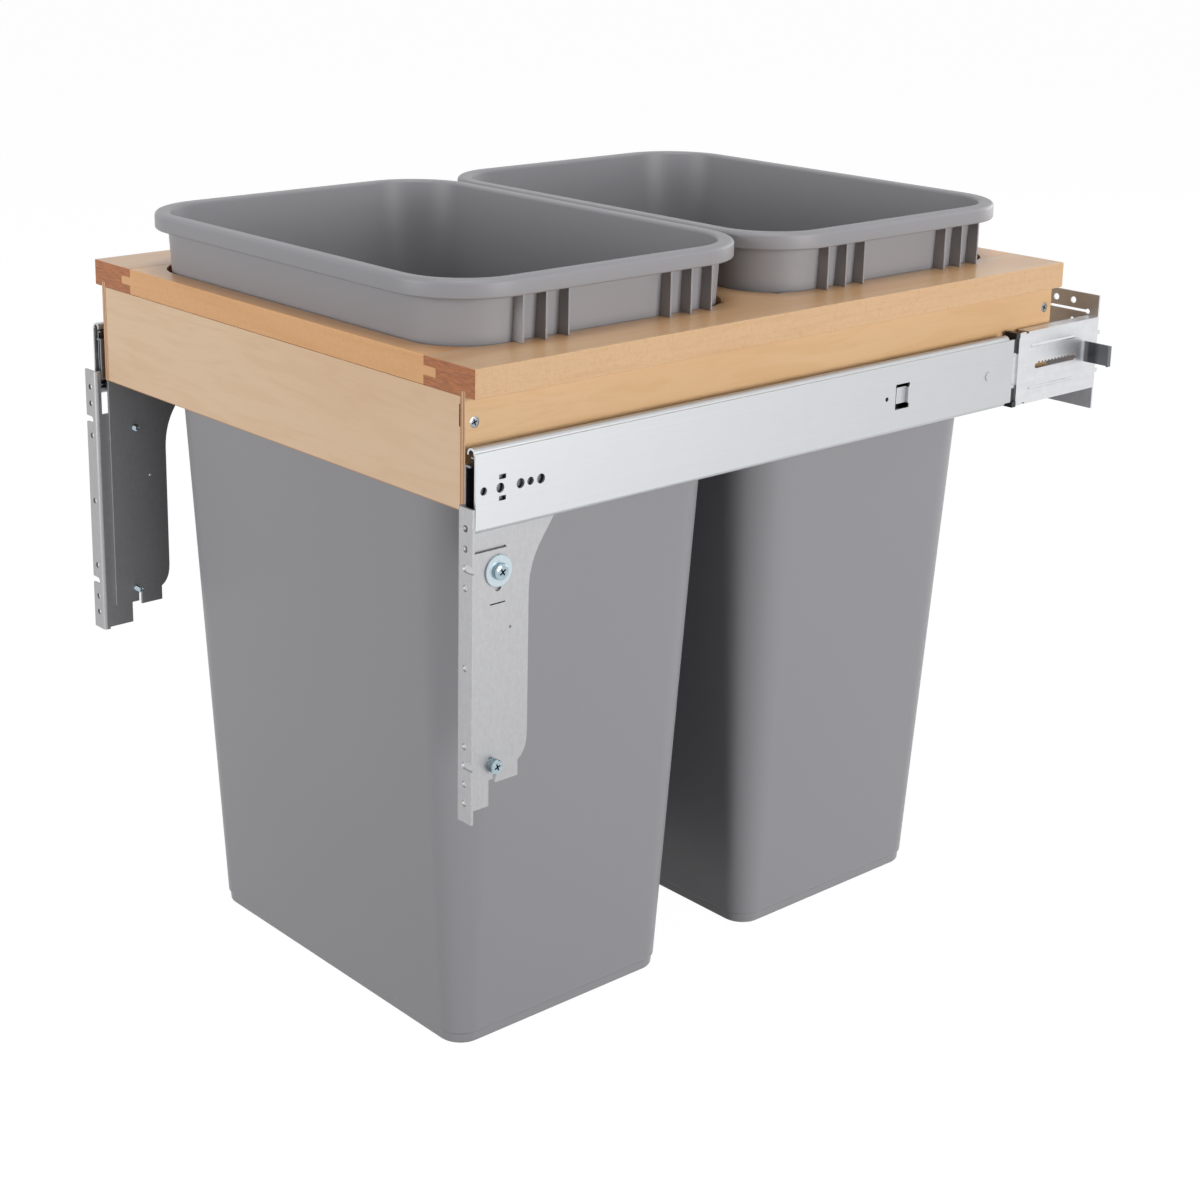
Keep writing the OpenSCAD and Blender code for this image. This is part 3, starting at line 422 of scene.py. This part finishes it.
def cut_cross(piece, top, reach, wide, deep, outside, inside):
    """Sinks a tapered cross recess into a head whose top lies at a height."""
    piece.data.materials.append(outside)
    bpy.ops.object.select_all(action="DESELECT")
    bpy.ops.mesh.primitive_cube_add(size=1, location=(0, 0, top))
    bit = bpy.context.object
    bit.data.materials.append(inside)
    bpy.ops.object.mode_set(mode="EDIT")
    bpy.ops.transform.resize(value=(wide, wide, 2 * deep))
    for x, y in ((1, 0), (-1, 0), (0, 1), (0, -1)):
        choose(bit, "FACE", lambda face: face.normal.x * x + face.normal.y * y > 0.9
               and abs(face.center.x * y + face.center.y * x) < wide / 4)
        run = reach - wide / 2
        bpy.ops.mesh.extrude_region_move(
            TRANSFORM_OT_translate={"value": (x * run, y * run, 0)})
    choose(bit, "VERT", lambda point: point.co.z < 0)
    taper = 0.55
    bpy.ops.transform.resize(value=(taper, taper, 1), center_override=(0, 0, top - deep))
    bpy.ops.mesh.select_all(action="SELECT")
    bpy.ops.mesh.normals_make_consistent(inside=False)
    bpy.ops.object.mode_set(mode="OBJECT")
    combined(piece, bit, "DIFFERENCE")
    bpy.ops.object.shade_smooth_by_angle(angle=radians(32))


def set_down(model, places, name):
    """Copies a modelled piece to its places, each a matrix, and joins the copies."""
    copies = [copied(model) for place in places]
    for copy, place in zip(copies, places):
        copy.data.transform(place)
        copy.select_set(True)
    bpy.context.view_layer.objects.active = copies[0]
    bpy.ops.object.join()
    joined = bpy.context.object
    joined.name = name
    bpy.data.objects.remove(model)
    return joined


def zinc(name, light, dark, rough, grain, blotch, lug_shade_from=None):
    """Zinc on steel: smooth and pale, with a faint drawn grain and a fainter cloud. Past a
    distance from the middle, shade is painted on: the sheet turns darker, and darker still in
    a band further out."""
    metal = Finish(name, Metallic=1.0)
    cloud = metal.noise(metal.place, blotch)
    lines = metal.noise(metal.scaled(metal.place, grain), 1.0)
    tone = metal.mix(ink(*light), ink(*dark), metal.step(cloud * 0.5 + lines * 0.5, 0.3, 0.7))
    if lug_shade_from:
        # Painted shade on the side lugs: darker past this distance, and darker still in a band
        # a little further out
        out = abs(metal.axis(metal.place, "X"))
        lug_shade = metal.step(out, lug_shade_from, lug_shade_from + 2 * mm)
        shaded = (metal.step(out, lug_shade_from + 3 * mm, lug_shade_from + 6 * mm)
                  * (1 - metal.step(out, lug_shade_from + 10 * mm, lug_shade_from + 16 * mm)))
        tone = metal.mix(metal.mix(tone, ink(112, 114, 118), lug_shade), ink(74, 76, 80), shaded)
    return metal.wear(Base_Color=tone, Roughness=rough + cloud * 0.04 + lines * 0.02,
                      Normal=metal.bump(lines, 0.01 * mm, 0.25))


even_grain = (1200, 1200, 1200)
bright_zinc = zinc("bright_zinc", (158, 163, 167), (136, 141, 146), 0.24, even_grain, 500.0)
# Painted shade: the cross recesses of the apron screws are nearly black
grey_recess_shade = zinc("recess_painted_shade", (26, 30, 32), (16, 19, 21), 0.45, even_grain, 500.0)
low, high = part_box("apron_screws")
screw = turned([(0.9 * mm, -38 * mm), (1.8 * mm, -35 * mm), (1.9 * mm, -2.9 * mm),
                (3.95 * mm, -0.9 * mm), (3.95 * mm, -0.6 * mm), (3.6 * mm, -0.4 * mm)],
               "screw_model")
cut_cross(screw, -0.4 * mm, 2.7 * mm, 1.2 * mm, 1.8 * mm, bright_zinc, grey_recess_shade)
head_r = 4 * mm

# The crosses stopped at different angles when the screws were tight
spots = []
for side in (-1, 1):
    turn = Matrix.Rotation(side * pi / 2, 4, "Y")
    for i, y in enumerate((low.y + head_r, high.y - head_r)):
        for j, z in enumerate((low.z + head_r, high.z - head_r)):
            twist = Matrix.Rotation(0.5 + 0.7 * i + 1.1 * j + side * 0.3, 4, "Z")
            spots.append(Matrix.Translation((side * high.x, y, z)) @ turn @ twist)
finished(set_down(screw, spots, "countersunk_screws"), "drawer", bright_zinc,
         "apron_screws")


# Slides: three members of cold rolled steel each, zinc plated. The cabinet member is rolled
# round the outer balls, and the inner members run inside it.
sheet_ease = 0.3 * mm
slide_zinc = zinc("slide_zinc", (189, 191, 193), (186, 188, 190), 0.39, (600, 10, 600), 40.0)
# Painted shade: the inner members and the cages run inside the cabinet member, so their zinc
# is made darker
inner_zinc_in_shade = zinc("inner_zinc_in_shade", (142, 143, 147), (126, 127, 131), 0.30, (600, 10, 600), 60.0)
for side in ("left", "right"):
    for member, rail, body, steel in (
            ("_cabinet_member", "_outer_rail", "cabinet", slide_zinc),
            ("_intermediate_member", "_middle_rail", side + "_intermediate", inner_zinc_in_shade),
            ("_drawer_member", "_inner_rail", "drawer", inner_zinc_in_shade)):
        finished(eased(side + member, side + rail, sheet_ease), body, steel,
                 side + member)


# Ball cages and balls: stamped strips of zinc plated steel that space hardened balls. They
# run in the races between the members, and the balls carry the load.
def coated(node, material):
    """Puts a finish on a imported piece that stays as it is."""
    piece = frame["nodes"][node]
    piece.data.materials.clear()
    piece.data.materials.append(material)


ball_steel = zinc("ball_steel", (196, 198, 202), (176, 178, 182), 0.10, (900, 900, 900), 90.0)
for side in ("left", "right"):
    for cage in ("_outer_cage", "_inner_cage"):
        coated(side + cage, inner_zinc_in_shade)
    for balls in ("_outer_balls", "_inner_balls"):
        coated(side + balls, ball_steel)


# Soft close units: a housing of black acetal sits in the rear of each cabinet member. Its
# white catch rides on a piston rod, and a steel spring and a damper draw it in.
def moulded(name, light, dark, rough, grain, depth):
    """Moulded plastic with a fine spark-eroded texture and a slight cloudiness."""
    plastic = Finish(name, IOR=1.5)
    cloud = plastic.noise(plastic.place, 3.0, detail=1.0)
    pits = plastic.noise(plastic.place, grain, rough=0.6)
    tone = plastic.mix(ink(*light), ink(*dark), plastic.step(cloud, 0.35, 0.65))
    return plastic.wear(Base_Color=tone, Roughness=rough + cloud * 0.06 + pits * 0.06,
                        Normal=plastic.bump(pits, depth, 0.5))


black_plastic = moulded("black_acetal", (34, 34, 36), (24, 24, 26), 0.40, 1800.0, 0.04 * mm)
white_plastic = moulded("white_acetal", (226, 226, 222), (212, 212, 208), 0.35, 1800.0,
                        0.03 * mm)
for side in ("left", "right"):
    coated(side + "_soft_close_housing", black_plastic)
    coated(side + "_soft_close_catch", white_plastic)
    coated(side + "_soft_close_spring", ball_steel)
    coated(side + "_soft_close_damper", ball_steel)


# Slide screws: three pan-head screws of bright zinc plated steel a side, which hold the
# drawer member and the door arm to the apron.
coated("slide_screws", bright_zinc)


# End caps: a cap of black acetal closes each slide behind its race, where the rear bracket
# starts. It is moulded in one piece and pushed on, and shows as a thin dark plate.
cap_ease = 0.2 * mm
plate_share = 0.42
for side in ("left", "right"):
    cap = eased(side + "_end_cap", side + "_cap", cap_ease)
    bracket_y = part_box(side + "_end_cap")[1].y
    bpy.ops.object.mode_set(mode="EDIT")
    bpy.ops.mesh.select_all(action="SELECT")
    bpy.ops.transform.resize(value=(1, plate_share, 1), center_override=(0, bracket_y, 0))
    bpy.ops.object.mode_set(mode="OBJECT")
    finished(cap, "cabinet", black_plastic, side + "_end_cap")


# Rear brackets: galvanised sheet, pressed with ribs and a toothed adjusting slot, riveted to
# the slide and screwed to the cabinet's rear wall. Their side lugs get painted shade.
bracket_zinc = zinc("bracket_zinc", (212, 213, 215), (203, 204, 207), 0.36, (240, 30, 240),
                    160.0, lug_shade_from=229.2 * mm)
for side in ("left", "right"):
    finished(eased(side + "_rear_bracket", side + "_wall_bracket", sheet_ease), "cabinet",
             bracket_zinc, side + "_rear_bracket")
coated("rear_bracket_rivets", slide_zinc)


# Door brackets: an arm of 2 mm galvanised sheet behind each slide, with two short slits, and
# an angle that is clamped on it, with a row of holes in its flange for the door.
door_zinc = zinc("door_zinc", (166, 166, 167), (159, 159, 161), 0.44, (900, 900, 120), 320.0)
slit_shade = shadowed("slit_shade", (58, 58, 60), (40, 40, 42))

# Both slits end at the angle's rear edge, and lie this far below its top. The upper one
# starts near the front of the arm, and the lower one is short, with painted shade inside
slit_deep, slit_tall = 1.4 * mm, 0.9 * mm
upper_drop, lower_drop = 33.7 * mm, 70.4 * mm
upper_start = 2 * mm
lower_long = 13.7 * mm
for side, way in (("left", -1), ("right", 1)):
    arm = eased(side + "_door_arm", side + "_arm", sheet_ease)
    arm.data.materials.append(door_zinc)
    arm_low, arm_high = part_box(side + "_door_arm")
    angle_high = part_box(side + "_door_angle")[1]
    face_x = arm_high.x if side == "right" else arm_low.x
    near_x, far_x = sorted((face_x - way * slit_deep, face_x + way * over))
    for y, drop, inside in ((arm_low.y + upper_start, upper_drop, door_zinc),
                            (angle_high.y - lower_long, lower_drop, slit_shade)):
        z = angle_high.z - drop
        slit(arm, (near_x, y, z), (far_x, angle_high.y, z + slit_tall), inside)
    finished(arm, "drawer", door_zinc, side + "_door_arm")
    finished(eased(side + "_door_angle", side + "_angle", sheet_ease), side + "_angle",
             door_zinc, side + "_door_angle")


# Washers and screws of the door brackets: a big washer under a domed pan head above and a
# tall knurled cylinder head below, all bright zinc with a bluish passivation.
def knurl(piece, top, foot, depth):
    """Presses every second face round a head inwards."""
    round_it = [face for face in piece.data.polygons
                if foot < face.center.z < top and abs(face.normal.z) < 0.1]
    round_it.sort(key=lambda face: Vector((1, 0)).angle_signed(face.center.xy))
    pressed = {face.index for face in round_it[::2]}
    slope = 0.06 * mm
    pick(piece)
    choose(piece, "FACE", lambda face: face.index in pressed)
    bpy.ops.mesh.inset(thickness=slope, depth=-depth, use_individual=True)
    bpy.ops.object.mode_set(mode="OBJECT")


def thread(r, start, end, pitch):
    """Profile points of a threaded shank, one ridge for each turn, up to its end."""
    root = r * 0.86
    points = []
    for i in range(int((end - start) / pitch)):
        points += [(root, start + i * pitch), (r, start + (i + 0.5) * pitch)]
    return points


def on_both_sides(model, x, y, z, twist, name):
    """Sets a model down on the left and the right, with its top outwards."""
    spots = []
    for side in (-1, 1):
        turn = Matrix.Rotation(side * pi / 2, 4, "Y") @ Matrix.Rotation(side * twist, 4, "Z")
        spots.append(Matrix.Translation((side * x, y, z)) @ turn)
    return set_down(model, spots, name)


head_zinc = zinc("blue_zinc", (184, 200, 207), (156, 178, 187), 0.12, even_grain, 420.0)
# Painted shade: the cross recesses of the bracket screws are dark teal, the blue zinc in shade
recess_painted_shade = zinc("blue_recess", (30, 84, 98), (18, 56, 68), 0.30, even_grain, 420.0)
washer_zinc = zinc("washer_zinc", (192, 204, 211), (182, 195, 203), 0.28, even_grain, 420.0)
low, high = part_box("door_bracket_washers")
washer_r = (high.z - low.z) / 2
bolt_y, bolt_z = (low.y + high.y) / 2, (low.z + high.z) / 2
washer_t = 1.5 * mm
washer = turned([(washer_r - 0.1 * mm, -washer_t), (washer_r, -washer_t + 0.15 * mm),
                 (washer_r, -0.35 * mm), (washer_r - 0.35 * mm, 0), (4.2 * mm, 0),
                 (4.0 * mm, -0.1 * mm)], "washer_model", steps=64)
finished(on_both_sides(washer, high.x, bolt_y, bolt_z, 0, "big_washers"), "drawer",
         washer_zinc, "door_bracket_washers")

low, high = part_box("door_bracket_upper_screws")
head_r = (high.z - low.z) / 2
shank = thread(2.35 * mm, -12.6 * mm, -4.2 * mm, 0.8 * mm)
pan = turned([(1.6 * mm, -12.9 * mm)] + shank
             + [(2.35 * mm, -3.6 * mm), (head_r - 0.2 * mm, -3.4 * mm), (head_r, -3.2 * mm),
                (head_r, -1.6 * mm), (head_r * 0.95, -1.05 * mm), (head_r * 0.84, -0.6 * mm),
                (head_r * 0.68, -0.27 * mm), (head_r * 0.45, -0.08 * mm),
                (head_r * 0.15, 0)], "pan_screw_model")
cut_cross(pan, 0, 3.5 * mm, 1.5 * mm, 2.0 * mm, head_zinc, recess_painted_shade)
finished(on_both_sides(pan, high.x, bolt_y, bolt_z, 0.6, "pan_head_screws"), "drawer",
         head_zinc, "door_bracket_upper_screws")

low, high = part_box("door_bracket_lower_screws")
head_r = (high.z - low.z) / 2
low_y, low_z = (low.y + high.y) / 2, (low.z + high.z) / 2
shank = thread(1.95 * mm, -16.5 * mm, -6.2 * mm, 0.7 * mm)
cylinder = turned([(1.3 * mm, -16.8 * mm)] + shank
                  + [(1.95 * mm, -5.9 * mm), (head_r - 0.3 * mm, -5.7 * mm),
                     (head_r, -5.5 * mm), (head_r, -0.7 * mm), (head_r - 0.5 * mm, 0)],
                  "cylinder_screw_model", steps=64)
knurl(cylinder, -1 * mm, -5 * mm, 0.22 * mm)
cut_cross(cylinder, 0, 3.1 * mm, 1.4 * mm, 2.0 * mm, head_zinc, recess_painted_shade)
finished(on_both_sides(cylinder, high.x, low_y, low_z, 0.35, "cylinder_head_screws"),
         "drawer", head_zinc, "door_bracket_lower_screws")


# Bins: two tall tubs moulded of mid grey polypropylene, tapered to the foot, with a rolled
# rim, a hollow under it and fins that stand on the frame and carry the bin.
frame_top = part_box("right_stile")[1].z
bin_low, bin_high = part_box("front_bin")

# Heights above the frame, and the width, depth and corner radius at the frame, the foot and
# the rim
rim_top = bin_high.z - frame_top
foot_z = bin_low.z - frame_top
collar = (357 * mm, 257 * mm, 45 * mm)
foot = (300 * mm, 198 * mm, 19 * mm)
rim_size = (bin_high.x - bin_low.x, bin_high.y - bin_low.y, 57 * mm)
wall_t = 2.5 * mm
rim_t = 2.6 * mm
band = rim_top - 12 * mm
under = rim_top - rim_t
foot_in, foot_tall, foot_slope = 1.2 * mm, 7.5 * mm, 1.4 * mm
wall_rings = 7

# Two rings of different outlines at one height are bridged over this much of a lean, because
# a flat bridge comes out twisted
lean = 0.1 * mm


def wall(z, inset):
    """Width, depth, corner radius and height of the tapering wall, moved in by an inset."""
    share = z / foot_z
    w, d, r = (collar[i] + (foot[i] - collar[i]) * share for i in range(3))
    return (w - 2 * inset, d - 2 * inset, r - inset, z)


def rim(z, inset):
    """The same four sizes of the rim."""
    return (rim_size[0] - 2 * inset, rim_size[1] - 2 * inset, rim_size[2] - inset, z)


# Each ring of the tub from the foot, up the outside, over the rim and down to the floor,
# with the radius that rounds it
rings = [(wall(foot_z, foot_in), 2 * mm), (wall(foot_z + foot_tall, foot_in), 0),
         (wall(foot_z + foot_tall + foot_slope, 0), 0)]
rings += [(wall(foot_z * (1 - i / wall_rings), 0), 0) for i in range(1, wall_rings + 1)]
rings += [(wall(under - lean, 0), 0.8 * mm), (rim(under, rim_t), 2.2 * mm),
          (rim(band + lean, rim_t), 1.25 * mm), (rim(band, 0), 1.25 * mm),
          (rim(rim_top, 0), 3 * mm), (wall(rim_top - lean, wall_t), 2 * mm)]
rings += [(wall(foot_z * i / wall_rings, wall_t), 0) for i in range(wall_rings)]
rings += [(wall(foot_z + wall_t, wall_t), 3 * mm)]


def ring_number(i):
    """Counts in tens, because a point made between two rings gets a number between theirs."""
    return 10 * (i + 1)


def pick_rings(piece, *numbers):
    """Selects the edges of the numbered rings, in edit mode."""
    bpy.ops.mesh.select_all(action="DESELECT")
    mesh = bmesh.from_edit_mesh(piece.data)
    mark = mesh.verts.layers.int["ring"]
    for edge in mesh.edges:
        a, b = (point[mark] for point in edge.verts)
        edge.select_set(a == b and a in numbers)
    bmesh.update_edit_mesh(piece.data)


def add_ring(piece, own, w, d, r, z):
    """Adds a rectangle, rounds its corners, numbers its points and leaves only its edges."""
    bpy.ops.mesh.select_all(action="DESELECT")
    bpy.ops.mesh.primitive_plane_add(size=1, location=(0, 0, z))
    bpy.ops.transform.resize(value=(w, d, 1), center_override=(0, 0, z))
    bpy.ops.mesh.bevel(offset=r, segments=12, affect="VERTICES")
    mesh = bmesh.from_edit_mesh(piece.data)
    mark = mesh.verts.layers.int["ring"]
    for point in mesh.verts:
        if point[mark] == 0:
            point[mark] = own
    for face in mesh.faces:
        face.select_set(face.verts[0][mark] == own)
    bmesh.update_edit_mesh(piece.data)
    bpy.ops.mesh.delete(type="ONLY_FACE")


def tub():
    """Sets up the rings, bridges each to the next, closes both floors and rounds the edges."""
    bpy.ops.object.select_all(action="DESELECT")
    bpy.ops.mesh.primitive_plane_add(size=1)
    piece = bpy.context.object
    bpy.ops.object.mode_set(mode="EDIT")
    bpy.ops.mesh.delete(type="VERT")
    bmesh.from_edit_mesh(piece.data).verts.layers.int.new("ring")
    bpy.ops.mesh.select_mode(type="VERT")
    for i, (size, rounding) in enumerate(rings):
        add_ring(piece, ring_number(i), *size)
    bpy.ops.mesh.select_mode(type="EDGE")
    for i in range(1, len(rings)):
        pick_rings(piece, ring_number(i - 1), ring_number(i))
        bpy.ops.mesh.bridge_edge_loops()
    for end in (0, len(rings) - 1):
        pick_rings(piece, ring_number(end))
        bpy.ops.mesh.edge_face_add()
    for i, (size, rounding) in enumerate(rings):
        if rounding:
            pick_rings(piece, ring_number(i))
            bpy.ops.mesh.bevel(offset=rounding, segments=6, profile=0.5, clamp_overlap=False)
    bpy.ops.mesh.select_all(action="SELECT")
    bpy.ops.mesh.normals_make_consistent(inside=False)
    bpy.ops.object.mode_set(mode="OBJECT")
    piece.data.attributes.remove(piece.data.attributes["ring"])
    return piece


def fin():
    """One fin at the right: a plate under the rim, from the sloping wall out to the band."""
    thick, rounding, stand, setback = 1.6 * mm, 0.4 * mm, 0.2 * mm, 1.2 * mm
    foot_x = wall(0, wall_t / 2)[0] / 2
    top_x = wall(under, wall_t / 2)[0] / 2
    out = rim_size[0] / 2 - setback
    half_way = (out + foot_x) / 2
    low_z, high_z = stand, under + stand
    bpy.ops.object.select_all(action="DESELECT")
    bpy.ops.mesh.primitive_cube_add(size=1, location=(half_way, 0, (low_z + high_z) / 2),
                                    scale=(out - foot_x, thick, high_z - low_z))
    piece = bpy.context.object
    bpy.ops.object.transform_apply(location=True, scale=True)

    def outer(edge):
        a, b = (piece.data.vertices[i].co for i in edge.vertices)
        return min(a.x, b.x) > half_way and a.y == b.y

    choose(piece, "EDGE", outer)
    bpy.ops.mesh.bevel(offset=rounding, segments=2, profile=0.5)
    choose(piece, "VERT", lambda point: point.co.x < half_way and point.co.z > under / 2)
    bpy.ops.transform.translate(value=(top_x - foot_x, 0, 0))
    bpy.ops.object.mode_set(mode="OBJECT")
    return piece


# Three fins stand near each end of both sides, at these shares of the collar's depth
fin_groups = (-0.2315, 0.2665)
fin_step = 0.074
spots = [Matrix.Translation((0, (group + fin_step * i) * collar[1], 0))
         @ Matrix.Rotation(turn, 4, "Z")
         for turn in (pi, 0) for group in fin_groups for i in (-1, 0, 1)]
model = tub()
combined(model, set_down(fin(), spots, "fins"), "UNION")
bpy.ops.object.shade_smooth_by_angle(angle=radians(30))
bin_plastic = moulded("grey_polypropylene", (150, 149, 153), (148, 147, 151), 0.40, 1500.0,
                      0.03 * mm)
for node, body in (("front_bin", "bin_front"), ("rear_bin", "bin_rear")):
    low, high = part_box(node)
    copy = copied(model)
    copy.name = node + "_tub"
    copy.data.transform(Matrix.Translation(((low.x + high.x) / 2, (low.y + high.y) / 2,
                                            frame_top)))
    finished(copy, body, bin_plastic, node)
bpy.data.objects.remove(model)


# Studio: a pale floor, soft lamps in front, at the right, behind and above, and the camera of
# the photograph. Cameras and shiny surfaces see the floor and the sky nearly white.
def seen_directly(finish):
    """1 for rays that come from the camera, a shiny surface or through glass, else 0."""
    kinds = ("Is Camera Ray", "Is Glossy Ray", "Is Transmission Ray")
    camera, gloss, through = (finish.node("ShaderNodeLightPath", out=kind) for kind in kinds)
    return camera.at_least(gloss).at_least(through)


floor_gap = 0.5 * mm
bpy.ops.object.select_all(action="DESELECT")
bpy.ops.mesh.primitive_plane_add(size=30, location=(0, 0, cad_box[0][2] - floor_gap))
floor = bpy.context.object
floor.name = "studio_floor"
paper = Finish("studio_paper", Base_Color=(0.20, 0.20, 0.20, 1.0), Roughness=0.9,
               Specular_IOR_Level=0.0)
glow = paper.node("ShaderNodeEmission", None, {"Color": (1, 1, 1, 1), "Strength": 1.31})
glow_share = 0.75
blend = paper.node("ShaderNodeMixShader", None,
                   {0: seen_directly(paper) * glow_share,
                    1: Shade(paper, paper.shader.outputs[0]), 2: glow})
paper.tree.links.new(blend.socket, paper.tree.nodes["Material Output"].inputs["Surface"])
floor.data.materials.append(paper.material)


class Sky(Finish):
    """The world's colour, white where it is seen directly and dim where it lights."""

    def __init__(self, name, dim):
        world = bpy.data.worlds.new(name)
        bpy.context.scene.world = world
        world.use_nodes = True
        self.tree = world.node_tree
        glow = self.tree.nodes["Background"]
        glow.inputs["Color"].default_value = (1, 1, 1, 1)
        seen = seen_directly(self)
        self.tree.links.new((seen + (1 - seen) * dim).socket, glow.inputs["Strength"])


Sky("studio", dim=0.07)


def lamp(name, at, aim, size, power):
    """A square soft box that looks from one point to another."""
    light = bpy.data.lights.new(name, "AREA")
    light.shape = "SQUARE"
    light.size = size
    light.energy = power
    box = bpy.data.objects.new(name, light)
    bpy.context.scene.collection.objects.link(box)
    box.location = at
    way = Vector(aim) - Vector(at)
    box.rotation_euler = way.to_track_quat("-Z", "Y").to_euler()


heart = (0, -0.32, -0.1)
lamp("front", (-0.5, -3.3, 0.5), heart, size=1.5, power=50)
lamp("side", (3.2, 0.05, 0.4), heart, size=1.5, power=75)
lamp("top", (0.2, -0.3, 3.0), (0, -0.32, 0), size=1.6, power=36)
lamp("rear", (0.2, 3.3, 0.45), heart, size=1.6, power=36)

# The camera looks towards the middle from this far and from this much to the right and up,
# and its focal length and shift are pixels of a picture that is 1200 wide
azimuth, elevation, roll = radians(49.829), radians(15.228), radians(0.596)
middle = Vector((0, -333.5 * mm, -126.0748 * mm))
distance, off_right, off_up = 1696.1 * mm, -53.165 * mm, 59.531 * mm
picture, focal, shift_right, shift_down = 1200, 2183.24, -90, -160
back = Vector((sin(azimuth) * cos(elevation), -cos(azimuth) * cos(elevation), sin(elevation)))
right = Vector((cos(azimuth), sin(azimuth), 0))
up = back.cross(right)
right, up = (right * cos(roll) + up * sin(roll), up * cos(roll) - right * sin(roll))
view = bpy.data.cameras.new("camera")
view.sensor_width = 36
view.lens = focal / picture * view.sensor_width
view.shift_x = -shift_right / picture
view.shift_y = shift_down / picture
camera = bpy.data.objects.new("camera", view)
bpy.context.scene.collection.objects.link(camera)
eye = middle + back * distance + right * off_right + up * off_up
camera.matrix_world = (Matrix.Translation(eye)
                       @ Matrix((right, up, back)).transposed().to_4x4())
bpy.context.scene.camera = camera
bpy.context.scene.view_settings.view_transform = "Standard"
